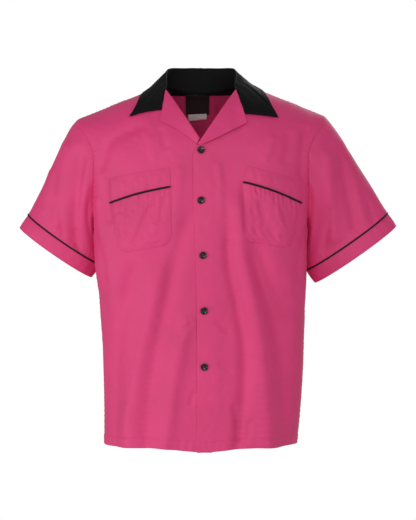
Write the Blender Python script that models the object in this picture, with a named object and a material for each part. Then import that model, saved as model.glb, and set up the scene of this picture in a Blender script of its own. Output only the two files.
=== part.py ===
"""A short-sleeved bowling shirt, filled out as it hangs on a wearer, with nobody in it.

Metres, +Z up. The front faces -Y and the wearer's left side is at +X. The origin lies between the shoulder
seams at the base of the neck, where the wearer carries the shirt. Every panel is a grid that is bent to its
place, with the cloth's thickness extruded from it, and neighbouring panels stop just short of their seam.
"""

import math

import bmesh
import bpy
import numpy as np
from mathutils import Vector
from mathutils.bvhtree import BVHTree
from mathutils.kdtree import KDTree

# Sizes that the whole shirt is worked out from
HEM_Z = -0.7605  # at the centre, below the shoulder point at the neck
HEM_SIDE_Z = -0.7520
HEM_LIFT = 0.0053  # of the hem between the centre and the side seam
UNDERARM_Z = -0.295
FOLD_END_Z = -0.147  # where the lapel's fold meets the front edge
NECK_HALF = 0.078  # half the neck's width at the shoulder seams
SHOULDER_HALF = 0.258  # half the width from shoulder tip to shoulder tip
SHOULDER_SLOPE = 0.400  # fall for each metre outwards
SHOULDER_START = {"right": 0.0788, "left": 0.0965}  # x outwards from which the shoulder line falls
SEAM_Y = 0.010  # side and shoulder seams lie on this plane
OVERLAP = 0.0155  # each front edge passes the centre by this much
LEAN = 0.0075  # how far the front edges drift to the wearer's left by the lowest button
LEAN_FROM, LEAN_OVER = -0.20, 0.28
SECTION_POWER = 2.5  # of the body's superellipse section
SHOULDER_SOFT = 0.006  # over which that line bends
SHOULDER_ROUND = 0.150  # height over which the chest rounds over to the shoulder seam
SAME_WAY = 0.85  # normals closer than this cosine count once where several pieces meet
PINCH_REACH = {"front": 0.35, "back": 0.48}  # share of the depth over which the side is pressed in

CLOTH = 0.0012
COLLAR_CLOTH = 0.0016  # two layers and an interlining
GAP = 0.0004  # between pieces at a seam
SHARP_SEAM = 0.35  # sine of half the sharpest angle at which two pieces meet
LAP = 0.0014  # each front moves this far, out or in, where the two overlap
LAP_OVER = 0.030
ROLL = 0.0029  # radius of the fold that turns a lapel or the collar over
LAPEL_LIFT = 0.0046  # outer face of a lapel or of the collar's fall above the front

CUFF_DEPTH = 0.033
CUFF_HALF_THICK = 0.047  # half the sleeve opening, front to back
CUFF_Y = 0.020  # the sleeves hang a little behind the seam plane
CUFF_WIDENS = 1.9  # for each metre up the sleeve
FRONT_DROP = 0.007  # how much lower the front of the cuff hangs
# How the sleeve sets off from the armhole over the shoulder, under the arm and between, and how it arrives
LEAVE_TOP = (0.095, 0.0, -0.080)
LEAVE_UNDER = (0.045, 0.0, -0.030)
LEAVE_ROUND = (0.020, 0.0, -0.050)
LEAVE_CUFF = 0.65
SLEEVE_LENGTH = 0.24
CUFF_PIPING = 0.0018  # radii
POCKET_PIPING = 0.0019

BUTTON_RADIUS = 0.0077
BUTTON_THICK = 0.0030
BUTTON_LIFT = 0.0006  # of its back above the cloth

# Rows of the body grids in each band, from the hem up, and their columns from the front edge to the side
ROWS = {"lower": 12, "chest": 4, "lapel": 8, "shoulder": 4}
PANEL_COLUMNS = 15  # of each front and each half of the back
SLEEVE_ROWS = 8
ROW_SAMPLES = 120

# The body's sections: height, half widths to the wearer's right and left, depth from the seam plane to the
# front and to the back, and how far the side is pressed in by the sleeve
BODY_COLUMNS = ("z", "right", "left", "front", "back", "pinch")
BODY = (
    (-0.770, 0.2025, 0.1985, 0.127, 0.119, 0.000),
    (-0.700, 0.2025, 0.2065, 0.128, 0.118, 0.000),
    (-0.600, 0.2040, 0.2135, 0.130, 0.117, 0.000),
    (-0.500, 0.2090, 0.2180, 0.133, 0.118, 0.001),
    (-0.450, 0.2190, 0.2265, 0.135, 0.120, 0.010),
    (-0.410, 0.2330, 0.2360, 0.137, 0.122, 0.028),
    (-0.370, 0.2400, 0.2390, 0.139, 0.124, 0.036),
    (-0.330, 0.2400, 0.2390, 0.140, 0.127, 0.037),
    (-0.290, 0.2400, 0.2390, 0.141, 0.130, 0.036),
    (-0.250, 0.2400, 0.2400, 0.141, 0.133, 0.028),
    (-0.215, 0.2420, 0.2420, 0.140, 0.134, 0.018),
    (-0.180, 0.2470, 0.2470, 0.137, 0.134, 0.008),
    (-0.140, 0.2600, 0.2600, 0.133, 0.133, 0.000),
    (-0.090, 0.3000, 0.3000, 0.128, 0.131, 0.000),
    (0.010, 0.3600, 0.3600, 0.124, 0.131, 0.000),
)

# The armhole seam, from the underarm up to the band that rounds over the shoulder
ARMHOLE_COLUMNS = ("share", "x", "z")
ARMHOLE = (
    (0.00, 0.2400, UNDERARM_Z),
    (0.16, 0.2330, -0.268),
    (0.34, 0.2285, -0.232),
    (0.52, 0.2235, -0.194),
    (0.70, 0.2225, -0.153),
    (0.86, 0.2330, -0.119),
    (1.00, 0.2490, -0.0935),
)
CHEST_SHARE = 0.44  # of the armhole lies below the end of the lapel's fold

# Where the front's edge runs once it leaves the button line, and the neck at the back
APEX = (0.0735, -0.0190)  # the lapel's fold meets the collar here, x and z
BACK_NECK_Z = -0.0135

# Sleeves: the cuff's hem as seen from the front, outer and inner corner, x outwards and z
CUFF_COLUMNS = ("outer_x", "outer_z", "inner_x", "inner_z")
CUFFS = {
    "right": (0.3830, -0.2985, 0.2300, -0.4035),
    "left": (0.4120, -0.2950, 0.2395, -0.4150),
}

# The collar by stations from its end on the front to the centre back: the roll's top and the outer edge
COLLAR_COLUMNS = ("share", "rise_x", "rise_y", "rise_z", "edge_x", "edge_y", "edge_z")
COLLAR = {
    "right": (
        (0.00, 0.0000, 0.0000, 0.0000, 0.0808, -0.0900, -0.0588),
        (0.10, -0.0010, 0.0010, 0.0030, 0.1100, -0.0900, -0.0620),
        (0.22, 0.0000, 0.0030, 0.0090, 0.1483, -0.0900, -0.0731),
        (0.36, 0.0010, 0.0050, 0.0220, 0.1300, -0.0450, -0.0400),
        (0.50, 0.0010, 0.0060, 0.0360, 0.1180, 0.0050, -0.0175),
        (0.64, 0.0000, 0.0090, 0.0432, 0.1050, 0.0480, -0.0140),
        (0.76, -0.0010, 0.0100, 0.0475, 0.0930, 0.0800, -0.0120),
        (0.88, -0.0020, 0.0110, 0.0510, 0.0540, 0.0970, -0.0140),
        (1.00, 0.0000, 0.0120, 0.0526, 0.0000, 0.1020, -0.0150),
    ),
    "left": (
        (0.00, 0.0000, 0.0000, 0.0000, 0.0900, -0.0900, -0.0680),
        (0.10, -0.0010, 0.0010, 0.0030, 0.1180, -0.0900, -0.0700),
        (0.22, 0.0000, 0.0030, 0.0090, 0.1604, -0.0900, -0.0744),
        (0.36, 0.0010, 0.0050, 0.0220, 0.1410, -0.0450, -0.0370),
        (0.50, 0.0010, 0.0060, 0.0360, 0.1195, 0.0050, -0.0130),
        (0.64, 0.0000, 0.0090, 0.0432, 0.1070, 0.0480, -0.0130),
        (0.76, -0.0010, 0.0100, 0.0475, 0.0930, 0.0800, -0.0120),
        (0.88, -0.0020, 0.0110, 0.0510, 0.0540, 0.0970, -0.0140),
        (1.00, 0.0000, 0.0120, 0.0526, 0.0000, 0.1020, -0.0150),
    ),
}
COLLAR_LEAVES, COLLAR_RESTS = 0.34, 0.45  # shares over which the fall's edge comes off the front
COLLAR_STATIONS = 16  # each half
STAND_ROWS = 3
ROLL_ROWS = 4
FALL_ROWS = 4
STAND_START = 0.006  # the stand's height from which it no longer lies in the front's own plane
STAND_FULL = 0.030
FALL_BOW = 0.001
LAPEL_EASE = 0.0008
LAPEL_TOP_GAP = 0.0012
FOLD_GAP = 0.0008  # between a panel's edge and the piece that is turned over it

# Lapels: how far along the fold the piece starts, and its free corners, x outwards and z
LAPEL_COLUMNS = ("first_row", "tip_x", "tip_z", "notch_x", "notch_z")
LAPELS = {
    "right": (2, 0.0846, -0.0820, 0.0790, -0.0600),
    "left": (1, 0.0938, -0.0885, 0.0880, -0.0695),
}
LAPEL_TIP_SHARE = 0.70  # of the way up the fold, level with the tip
LAPEL_START_WIDTH = 0.004
LAPEL_ACROSS = 5

# Pockets as seen from the front: corners inner top, outer top, outer foot, inner foot, x outwards and z
POCKET_COLUMNS = ("inner_top", "outer_top", "outer_foot", "inner_foot")
POCKET_BANDS = {
    "right": ((0.0630, -0.1790), (0.1880, -0.1985), (0.1860, -0.2495), (0.0610, -0.2175)),
    "left": ((0.0950, -0.1755), (0.2060, -0.2060), (0.2065, -0.2490), (0.0850, -0.2070)),
}
POCKET_BAGS = {
    "right": ((0.0610, -0.2200), (0.1860, -0.2520), (0.1680, -0.3540), (0.0600, -0.3370)),
    "left": ((0.0855, -0.2095), (0.2065, -0.2515), (0.1870, -0.3440), (0.0870, -0.3300)),
}
POCKET_CORNER = 0.24  # share of the bag's height that its round corners take
POCKET_NARROW = 0.30
POCKET_ROWS = {"band": 3, "bag": 8}
PIPING_SAG = -0.0015
PIPING_LIFT = 0.0025
POCKET_LIFT = 0.0026
BAND_LIFT = 0.0026
PIPING_SPACE = 0.0021  # from the line of a pocket's piping to the edges on each side of it
SETTLE_SAMPLES = 6
SETTLE_PASSES = 4

BUTTONS = ((0.0005, -0.1440), (0.0007, -0.2460), (0.0045, -0.3580), (0.0070, -0.4710), (0.0075, -0.5855))

# Places inside the neck opening, the torso, the collar, and in front of the inner back
NECK_MIDDLE = (0.0, 0.0, 0.06)
TORSO_MIDDLE = (0.0, SEAM_Y, -0.30)
COLLAR_MIDDLE = (0.0, SEAM_Y, -0.10)
FRONT_MIDDLE = (0.0, 0.20, -0.10)
BEHIND_BACK = (0.0, 0.30, 0.0)

LABEL_COLUMNS = ("width", "top", "foot", "rows")
LABELS = {"label": (0.050, -0.0145, -0.0525, 4), "size_tab": (0.040, -0.0540, -0.0645, 1)}
LABEL_X = -0.008
LABEL_ACROSS = 5
LABEL_CLOTH = 0.0010
LABEL_LIFT = CLOTH + 0.0016  # of its face from the back's outer face

# The largest folds: panel, height of the ridge (minus for a trough), half width, and the points it runs
# through as seen from the front, x and z
FOLD_COLUMNS = ("panel", "height", "half_width", "path")
FOLDS = (
    ("front", -0.0095, 0.020, ((0.093, -0.318), (0.125, -0.408), (0.154, -0.489),
        (0.174, -0.617), (0.182, -0.770))),
    ("front", 0.0095, 0.019, ((0.070, -0.215), (0.080, -0.307), (0.102, -0.428),
        (0.125, -0.570), (0.140, -0.770))),
    ("front", -0.0080, 0.013, ((0.058, -0.240), (0.058, -0.367), (0.074, -0.449),
        (0.089, -0.530), (0.089, -0.637), (0.072, -0.770))),
    ("front", 0.0080, 0.020, ((-0.070, -0.340), (-0.101, -0.489), (-0.130, -0.611), (-0.152, -0.770))),
    ("front", -0.0060, 0.018, ((-0.130, -0.357), (-0.155, -0.449), (-0.171, -0.540), (-0.182, -0.770))),
    ("front", -0.0070, 0.017, ((-0.023, -0.250), (-0.039, -0.327), (-0.067, -0.428),
        (-0.100, -0.591), (-0.116, -0.770))),
    ("front", 0.0070, 0.015, ((-0.022, -0.469), (-0.046, -0.571), (-0.074, -0.770))),
    ("front", -0.0045, 0.012, ((-0.104, -0.085), (-0.182, -0.120), (-0.208, -0.175))),
    ("front", -0.0060, 0.011, ((0.214, -0.085), (0.217, -0.130), (0.212, -0.190))),
    ("back", -0.0080, 0.018, ((-0.070, -0.160), (-0.082, -0.350), (-0.100, -0.560), (-0.118, -0.770))),
    ("back", 0.0080, 0.022, ((-0.030, -0.200), (-0.036, -0.420), (-0.052, -0.770))),
    ("back", -0.0070, 0.017, ((0.024, -0.240), (0.018, -0.450), (0.004, -0.770))),
    ("back", 0.0075, 0.020, ((0.075, -0.180), (0.080, -0.400), (0.072, -0.770))),
    ("back", -0.0085, 0.019, ((0.118, -0.230), (0.134, -0.430), (0.142, -0.770))),
    ("sleeve", -0.0060, 0.013, ((-0.247, -0.125), (-0.255, -0.190), (-0.262, -0.260), (-0.266, -0.340))),
    ("sleeve", 0.0045, 0.012, ((-0.278, -0.110), (-0.288, -0.190), (-0.300, -0.290))),
    ("sleeve", 0.0060, 0.014, ((0.262, -0.130), (0.266, -0.210), (0.276, -0.320))),
    ("sleeve", -0.0050, 0.013, ((0.290, -0.120), (0.302, -0.200), (0.322, -0.300))),
)
FOLD_FADE = 0.16  # share of a fold's length over which it rises from nothing
FOLD_STEPS = 24
SEAM_FADE = 0.14  # share of a panel's width over which folds die away at the side and the armhole
SHOULDER_FADE = 0.22  # and of its height at the shoulder

SIDES = {"right": -1.0, "left": 1.0}


# ---------------------------------------------------------------- numbers


def column(table, names, wanted, at, by):
    """Values of a table's column, read smoothly at the places `at` of its column `by`."""
    rows = np.array(table, float)
    order = np.argsort(rows[:, names.index(by)])
    knots = rows[order, names.index(by)]
    values = rows[order, names.index(wanted)]
    step = np.diff(knots)
    rise = np.diff(values) / step
    slope = np.zeros(len(knots))
    same = rise[:-1] * rise[1:] > 0
    slope[1:-1][same] = 2 * rise[:-1][same] * rise[1:][same] / (rise[:-1][same] + rise[1:][same])
    slope[0], slope[-1] = rise[0], rise[-1]
    at = np.clip(np.asarray(at, float), knots[0], knots[-1])
    i = np.clip(np.searchsorted(knots, at, side="right") - 1, 0, len(step) - 1)
    t = (at - knots[i]) / step[i]
    h = step[i]
    return (
        values[i] * (1 + 2 * t) * (1 - t) ** 2
        + slope[i] * h * t * (1 - t) ** 2
        + values[i + 1] * t * t * (3 - 2 * t)
        - slope[i + 1] * h * t * t * (1 - t)
    )


def mix(a, b, t):
    return a + (b - a) * t


def ease(t):
    """Rises from 0 to 1 with level ends."""
    t = np.clip(t, 0, 1)
    return t * t * (3 - 2 * t)


def body(name, z):
    return column(BODY, BODY_COLUMNS, name, z, "z")


def shoulder_line(side, x):
    """Height of the shoulder seam at x outwards from the centre: level over the neck, then falling."""
    start = SHOULDER_START["right" if side < 0 else "left"]
    return -SHOULDER_SLOPE * SHOULDER_SOFT * np.log1p(np.exp((np.asarray(x, float) - start) / SHOULDER_SOFT))


def lean(z):
    return LEAN * ease((LEAN_FROM - np.asarray(z, float)) / LEAN_OVER)


# ---------------------------------------------------------------- body panels


def front_edge(face, side, z):
    """How far out from the centre a panel's inner edge runs: a front's goes past it."""
    return side * lean(z) - OVERLAP if face == "front" else 0.0


def row_ends(face, side, band, t):
    """Where a row starts (front edge, fold, neck or centre back) and where it ends (side seam or armhole).
    Gives x_in, z_in, x_out, z_out, and how far the row follows the shoulder line."""
    width = "right" if side < 0 else "left"
    turn = math.pi / 2 * t
    if band == "lower":
        z_in = mix(HEM_Z, UNDERARM_Z, t)
        z_out = mix(HEM_SIDE_Z, UNDERARM_Z, t)
        return front_edge(face, side, z_in), z_in, body(width, z_out), z_out, 0.0
    share = {"chest": CHEST_SHARE * t, "lapel": mix(CHEST_SHARE, 1, t), "shoulder": 1.0}[band]
    x_out = column(ARMHOLE, ARMHOLE_COLUMNS, "x", share, "share")
    x_out = mix(body(width, UNDERARM_Z), x_out, ease(share / ARMHOLE[1][0]))
    z_out = column(ARMHOLE, ARMHOLE_COLUMNS, "z", share, "share")
    corner = APEX if face == "front" else (0.0, BACK_NECK_Z)
    if band == "chest":
        z_in = mix(UNDERARM_Z, FOLD_END_Z, t)
        return front_edge(face, side, z_in), z_in, x_out, z_out, 0.0
    if band == "lapel":
        start = front_edge(face, side, FOLD_END_Z) + (ROLL if face == "front" else 0.0)
        return mix(start, corner[0], t), mix(FOLD_END_Z, corner[1], t), x_out, z_out, ease(t)
    # Over the shoulder the drop below the seam shrinks as the square, which rounds the ridge
    x_in = mix(corner[0], NECK_HALF, math.sin(turn))
    z_in = shoulder_line(side, x_in) + (corner[1] - shoulder_line(side, corner[0])) * math.cos(turn) ** 2
    end_x = mix(x_out, SHOULDER_HALF, math.sin(turn))
    end_z = shoulder_line(side, end_x) + (z_out - shoulder_line(side, x_out)) * math.cos(turn) ** 2
    return x_in, z_in, end_x, end_z, 1.0


def body_surface(face, side, x, z):
    """Points of the torso at x outwards and z, on its front or back."""
    width = body("right" if side < 0 else "left", z)
    across = np.clip(np.abs(x) / width, 0, 1)
    round_side = (1 - across**SECTION_POWER) ** (1 / SECTION_POWER)
    drop = np.clip((shoulder_line(side, x) - z) / SHOULDER_ROUND, 0, 1)
    round_top = np.sqrt(1 - (1 - drop) ** 2)
    depth = body(face, z) * round_side * round_top
    toward = -1.0 if face == "front" else 1.0
    pressed = x - body("pinch", z) * np.exp(-((round_side / PINCH_REACH[face]) ** 2))
    y = SEAM_Y + toward * depth
    if face == "front":
        past = 1 - ease((np.abs(x - side * lean(z)) - OVERLAP) / LAP_OVER)
        y = y - side * LAP * past
    return np.stack([side * pressed, y, z], axis=-1)


def row_points(face, side, band, t):
    """One row of a body panel, evenly spaced along the cloth."""
    x_in, z_in, x_out, z_out, follow = row_ends(face, side, band, t)
    w = np.sin(np.linspace(0, math.pi / 2, ROW_SAMPLES))
    x = mix(x_in, x_out, w)
    straight = mix(shoulder_line(side, x_in), shoulder_line(side, x_out), w)
    z = mix(z_in, z_out, w**2 if band == "lower" else w) + follow * (shoulder_line(side, x) - straight)
    if band == "lower":
        z = z + HEM_LIFT * (1 - t) ** 3 * np.sin(math.pi * w) ** 2
    points = body_surface(face, side, x, z)
    steps = np.linalg.norm(np.diff(points, axis=0), axis=1)
    along = np.concatenate([[0.0], np.cumsum(steps)])
    at = np.linspace(0, along[-1], PANEL_COLUMNS + 1)
    return np.stack([np.interp(at, along, points[:, k]) for k in range(3)], axis=-1)


def fold_height(panel, x, z):
    """How far the folds of a panel lift its cloth at x and z."""
    x, z = np.asarray(x, float), np.asarray(z, float)
    height = np.zeros(x.shape)
    for name, lift, half_width, through in FOLDS:
        if name != panel:
            continue
        knots = np.array(through)
        at = np.linspace(0, len(knots) - 1, FOLD_STEPS)
        i = np.clip(at.astype(int), 0, len(knots) - 2)
        path = mix(knots[i], knots[i + 1], (at - i)[:, None])
        gaps = np.hypot(x[..., None] - path[:, 0], z[..., None] - path[:, 1])
        nearest = gaps.argmin(axis=-1)
        rise = ease(nearest / (FOLD_STEPS - 1) / FOLD_FADE)
        height += lift * rise * np.exp(-((gaps.min(axis=-1) / half_width) ** 2))
    return height


def grid_normals(points, toward):
    """Unit normals of a grid of points, on the side of it that `toward` looks to."""
    normals = np.cross(np.gradient(points, axis=0), np.gradient(points, axis=1))
    normals /= np.linalg.norm(normals, axis=-1, keepdims=True)
    flip = np.sign((normals * toward).sum(axis=-1, keepdims=True))
    return normals * np.where(flip == 0, 1, flip)


def body_grid(face, side):
    """Rows by columns of a panel's points with its folds, from the hem up and from the inner edge out."""
    rows = []
    for band, count in ROWS.items():
        for i in range(count):
            rows.append(row_points(face, side, band, i / count))
    rows.append(row_points(face, side, "shoulder", 1.0))
    points = np.array(rows)
    normals = grid_normals(points, np.array([0.0, -1.0 if face == "front" else 1.0, 0.0]))
    if face == "back":
        centre = slice(None, -ROWS["shoulder"])
        normals[centre, 0, 0] = 0.0
    from_seam = np.linspace(1, 0, PANEL_COLUMNS + 1)[None, :] / SEAM_FADE
    from_shoulder = np.linspace(1, 0, len(rows))[:, None] / SHOULDER_FADE
    height = fold_height(face, points[..., 0], points[..., 2]) * ease(from_seam) * ease(from_shoulder)
    return points + normals * height[..., None]


# ---------------------------------------------------------------- sleeves


def cuff_corners(name):
    """The outer and inner corner of a sleeve's hem, and the unit step from the hem up the sleeve."""
    side = SIDES[name]
    outer_x, outer_z, inner_x, inner_z = CUFFS[name]
    outer = np.array([side * outer_x, CUFF_Y, outer_z])
    inner = np.array([side * inner_x, CUFF_Y, inner_z])
    line = (outer - inner) / np.linalg.norm(outer - inner)
    up = np.array([-side * line[2], 0.0, abs(line[0])])
    return outer, inner, up


def cuff_ring(name, turn, above):
    """Points round the sleeve's opening, `above` the hem. Turn runs from 0, outside, over the front."""
    outer, inner, up = cuff_corners(name)
    half = (outer - inner) / 2
    wide = 1 + CUFF_WIDENS * above
    deep = -CUFF_HALF_THICK * np.sin(turn) * wide
    centre = (outer + inner) / 2 + up * above
    ring = centre + np.cos(turn)[:, None] * half
    ring[:, 1] += deep
    ring[:, 2] += FRONT_DROP * np.minimum(0, deep / CUFF_HALF_THICK)
    return ring


def sleeve_grid(name, front, back):
    """From the armhole's points, front and back, to just above the piping. Rows run down the sleeve."""
    side = SIDES[name]
    top = len(front) - 1
    hole = np.concatenate([front, back[::-1][1:]])
    steps = np.linalg.norm(np.diff(hole, axis=0), axis=1)
    along = np.concatenate([[0.0], np.cumsum(steps)])
    turn = np.concatenate(
        [
            math.pi * (1 - along[: top + 1] / along[top]),
            -math.pi * (along[top + 1 :] - along[top]) / (along[-1] - along[top]),
        ]
    )
    end = cuff_ring(name, turn, CUFF_DEPTH + CUFF_PIPING + GAP)
    _, _, up = cuff_corners(name)
    over = (1 + np.cos(turn)) / 2  # 1 at the shoulder tip and 0 at the underarm
    about = np.abs(np.sin(turn))
    outwards = np.array([side, 1.0, 1.0])
    leave = (
        over[:, None] * np.array(LEAVE_TOP) * outwards
        + (1 - over)[:, None] * np.array(LEAVE_UNDER) * outwards
        + about[:, None] * np.array(LEAVE_ROUND) * outwards
    )
    length = np.linalg.norm(end - hole, axis=1)[:, None]
    arrive = -up * length * LEAVE_CUFF
    rows = []
    for t in np.linspace(0, 1, SLEEVE_ROWS + 1):
        rows.append(
            hole * (1 + 2 * t) * (1 - t) ** 2
            + leave * t * (1 - t) ** 2
            + end * t * t * (3 - 2 * t)
            - arrive * t * t * (1 - t)
        )
    points = np.array(rows)
    normals = grid_normals(points, points - points.mean(axis=1, keepdims=True))
    normals[:, 0] = normals[:, -1] = (normals[:, 0] + normals[:, -1]) / 2
    t = np.linspace(0, 1, SLEEVE_ROWS + 1)[:, None]
    fade = ease(t / SEAM_FADE / 2) * ease((1 - t) / SEAM_FADE)
    height = fold_height("sleeve", points[..., 0], points[..., 2]) * fade
    return points + normals * height[..., None], turn


def cuff_grid(name, turn):
    heights = np.linspace(CUFF_DEPTH - CUFF_PIPING - GAP, 0, 3)
    return np.array([cuff_ring(name, turn, above) for above in heights])


# ---------------------------------------------------------------- meshes


def grid_mesh(points, round_it=False):
    """An open sheet through rows by columns of points; round_it joins its first and last column."""
    rows, columns = points.shape[:2]
    bm = bmesh.new()
    bmesh.ops.create_grid(bm, x_segments=columns - 1, y_segments=rows - 1, size=0.5)
    for v in bm.verts:
        j = round((v.co.x + 0.5) * (columns - 1))
        i = round((v.co.y + 0.5) * (rows - 1))
        v.co = points[i, j]
    if round_it:
        bmesh.ops.remove_doubles(bm, verts=bm.verts, dist=1e-6)
    bm.normal_update()
    return bm


def face_out(bm, away_from):
    """Turns a sheet so that its faces look away from a point."""
    total = sum((f.normal * f.calc_area()).dot(f.calc_center_median() - Vector(away_from)) for f in bm.faces)
    if total < 0:
        bmesh.ops.reverse_faces(bm, faces=bm.faces)
    bm.normal_update()


def thicken(bm, thickness, seam_normals=None):
    """Extrudes a sheet inwards into a wall, with its edge drawn back by half the gap at a seam."""
    way = bm.verts.layers.float_vector.new("through")
    draw_back = {}
    for v in bm.verts:
        normal = v.normal.copy()
        shared = seam_normals.get(v.index) if seam_normals else None
        reach = thickness
        if shared is not None:
            reach = thickness / max(0.5, shared.dot(normal))
            normal = shared
        v[way] = -normal * reach
        if v.is_boundary:
            inside = [e.other_vert(v) for e in v.link_edges if not e.is_boundary]
            inside = inside or [e.other_vert(v) for e in v.link_edges]
            step = sum(((o.co - v.co).normalized() for o in inside), Vector()).normalized()
            aside = 1.0 if shared is None else (step - shared * step.dot(shared)).length
            draw_back[v] = step * GAP / 2 / max(SHARP_SEAM, aside)
    for v, step in draw_back.items():
        v.co += step
    made = bmesh.ops.extrude_face_region(bm, geom=bm.faces[:], use_keep_orig=True)
    for v in made["geom"]:
        if isinstance(v, bmesh.types.BMVert):
            v.co += v[way]
    bmesh.ops.recalc_face_normals(bm, faces=bm.faces)
    return bm


def seam_normals_of(sheets):
    """For each sheet, the shared normals of the boundary vertices that meet another sheet's."""
    for bm in sheets.values():
        bm.verts.index_update()
    ends = [(name, v) for name, bm in sheets.items() for v in bm.verts if v.is_boundary]
    tree = KDTree(len(ends))
    for i, (_, v) in enumerate(ends):
        tree.insert(v.co, i)
    tree.balance()
    found = {name: {} for name in sheets}
    for name, v in ends:
        meeting = [ends[j] for _, j, _ in tree.find_range(v.co, 1e-5)]
        if len({other for other, _ in meeting}) > 1:
            ways = []
            for _, w in meeting:
                if all(w.normal.dot(other) < SAME_WAY for other in ways):
                    ways.append(w.normal.copy())
            found[name][v.index] = sum(ways, Vector()).normalized()
    return found


# ---------------------------------------------------------------- what lies on a panel


def tree_of(*sheets):
    """A search tree over the faces of open sheets."""
    corners, faces = [], []
    for sheet in sheets:
        bm = sheet.copy()
        bmesh.ops.triangulate(bm, faces=bm.faces)
        bm.verts.index_update()
        start = len(corners)
        corners += [v.co.copy() for v in bm.verts]
        faces += [[start + v.index for v in f.verts] for f in bm.faces]
        bm.free()
    return BVHTree.FromPolygons(corners, faces)


def on_panel(tree, x, z, lift, toward=-1.0):
    """The point of a panel at x and z, as seen from the `toward` side, moved out along its normal."""
    place, normal, _, _ = tree.ray_cast(Vector((x, toward, z)), Vector((0, -toward, 0)))
    if place is None:
        place, normal, _, _ = tree.find_nearest(Vector((x, toward * 0.1, z)))
    if normal.y * toward < 0:
        normal = -normal
    return place + normal * lift


def keep_clear(tree, point, clearance):
    """Pushes a point out of a panel until it is at least that clear of its outer face."""
    place, normal, _, _ = tree.find_nearest(point)
    outside = (point - place).dot(normal)
    if outside < clearance:
        return point + normal * (clearance - outside)
    return point


def settle(points, tree, clearance):
    """Raises a grid's points until the whole of it is at least that clear of the panel under it."""
    shares = np.linspace(0, 1, SETTLE_SAMPLES)
    for _ in range(SETTLE_PASSES):
        rise = np.zeros(points.shape)
        for i in range(points.shape[0] - 1):
            for j in range(points.shape[1] - 1):
                for s in shares:
                    for t in shares:
                        near = mix(points[i, j], points[i, j + 1], s)
                        far = mix(points[i + 1, j], points[i + 1, j + 1], s)
                        point = Vector(mix(near, far, t))
                        place, normal, _, _ = tree.find_nearest(point)
                        lacking = clearance - (point - place).dot(normal)
                        if lacking <= 0:
                            continue
                        push = np.array(normal) * lacking
                        for corner in ((i, j), (i, j + 1), (i + 1, j), (i + 1, j + 1)):
                            if np.linalg.norm(rise[corner]) < lacking:
                                rise[corner] = push
        points = points + rise
    return points


def corner_patch(corners, s, t):
    """A point of the patch between four corners: s from inner to outer, t from top to foot."""
    inner_top, outer_top, outer_foot, inner_foot = (np.array(c) for c in corners)
    return mix(mix(inner_top, outer_top, s), mix(inner_foot, outer_foot, s), t)


def pocket_seam(name, s):
    """The line of a pocket's piping as seen from the front, and the unit step down across it."""
    upper = corner_patch(POCKET_BANDS[name], s, 1)
    lower = corner_patch(POCKET_BAGS[name], s, 0)
    middle = (upper + lower) / 2
    middle[1] += PIPING_SAG * math.sin(math.pi * s)
    uppers = [corner_patch(POCKET_BANDS[name], q, 1) for q in (0, 1)]
    lowers = [corner_patch(POCKET_BAGS[name], q, 0) for q in (0, 1)]
    line = (uppers[1] + lowers[1] - uppers[0] - lowers[0]) / 2
    down = np.array([-line[1], line[0]])
    if down[1] > 0:
        down = -down
    return middle, down / np.linalg.norm(down)


def pocket_grid(name, tree, part, columns=9):
    """The band above a pocket's piping or the bag below it, from top to foot, lying on the front."""
    side = SIDES[name]
    rows = POCKET_ROWS[part]
    points = np.zeros((rows + 1, columns + 1, 3))
    for i, t in enumerate(np.linspace(0, 1, rows + 1)):
        low = max(0.0, (t - (1 - POCKET_CORNER)) / POCKET_CORNER) if part == "bag" else 0.0
        narrow = 1 - POCKET_NARROW * (1 - math.sqrt(max(0.0, 1 - low * low)))
        for j, s in enumerate(np.linspace(0, 1, columns + 1)):
            s = 0.5 + (s - 0.5) * narrow
            seam, down = pocket_seam(name, s)
            if part == "bag":
                x, z = mix(seam + down * PIPING_SPACE, corner_patch(POCKET_BAGS[name], s, 1), t)
            else:
                x, z = mix(corner_patch(POCKET_BANDS[name], s, 0), seam - down * PIPING_SPACE, t)
            points[i, j] = on_panel(tree, side * x, z, POCKET_LIFT if part == "bag" else BAND_LIFT)
    return settle(points, tree, POCKET_LIFT)


def pocket_piping_line(name, tree, count=13):
    """Along the seam between band and bag, just proud of both."""
    side = SIDES[name]
    line = []
    for s in np.linspace(0, 1, count):
        (x, z), _ = pocket_seam(name, s)
        line.append(on_panel(tree, side * x, z, PIPING_LIFT))
    return line


def out_of_panel(normal, seen):
    """The unit step out of a panel over its edge, from the way that leads onto it as seen from the front."""
    away = -np.array([seen[0], 0.0, seen[1]])
    away = away - normal * (away @ normal)
    return away / np.linalg.norm(away)


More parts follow.
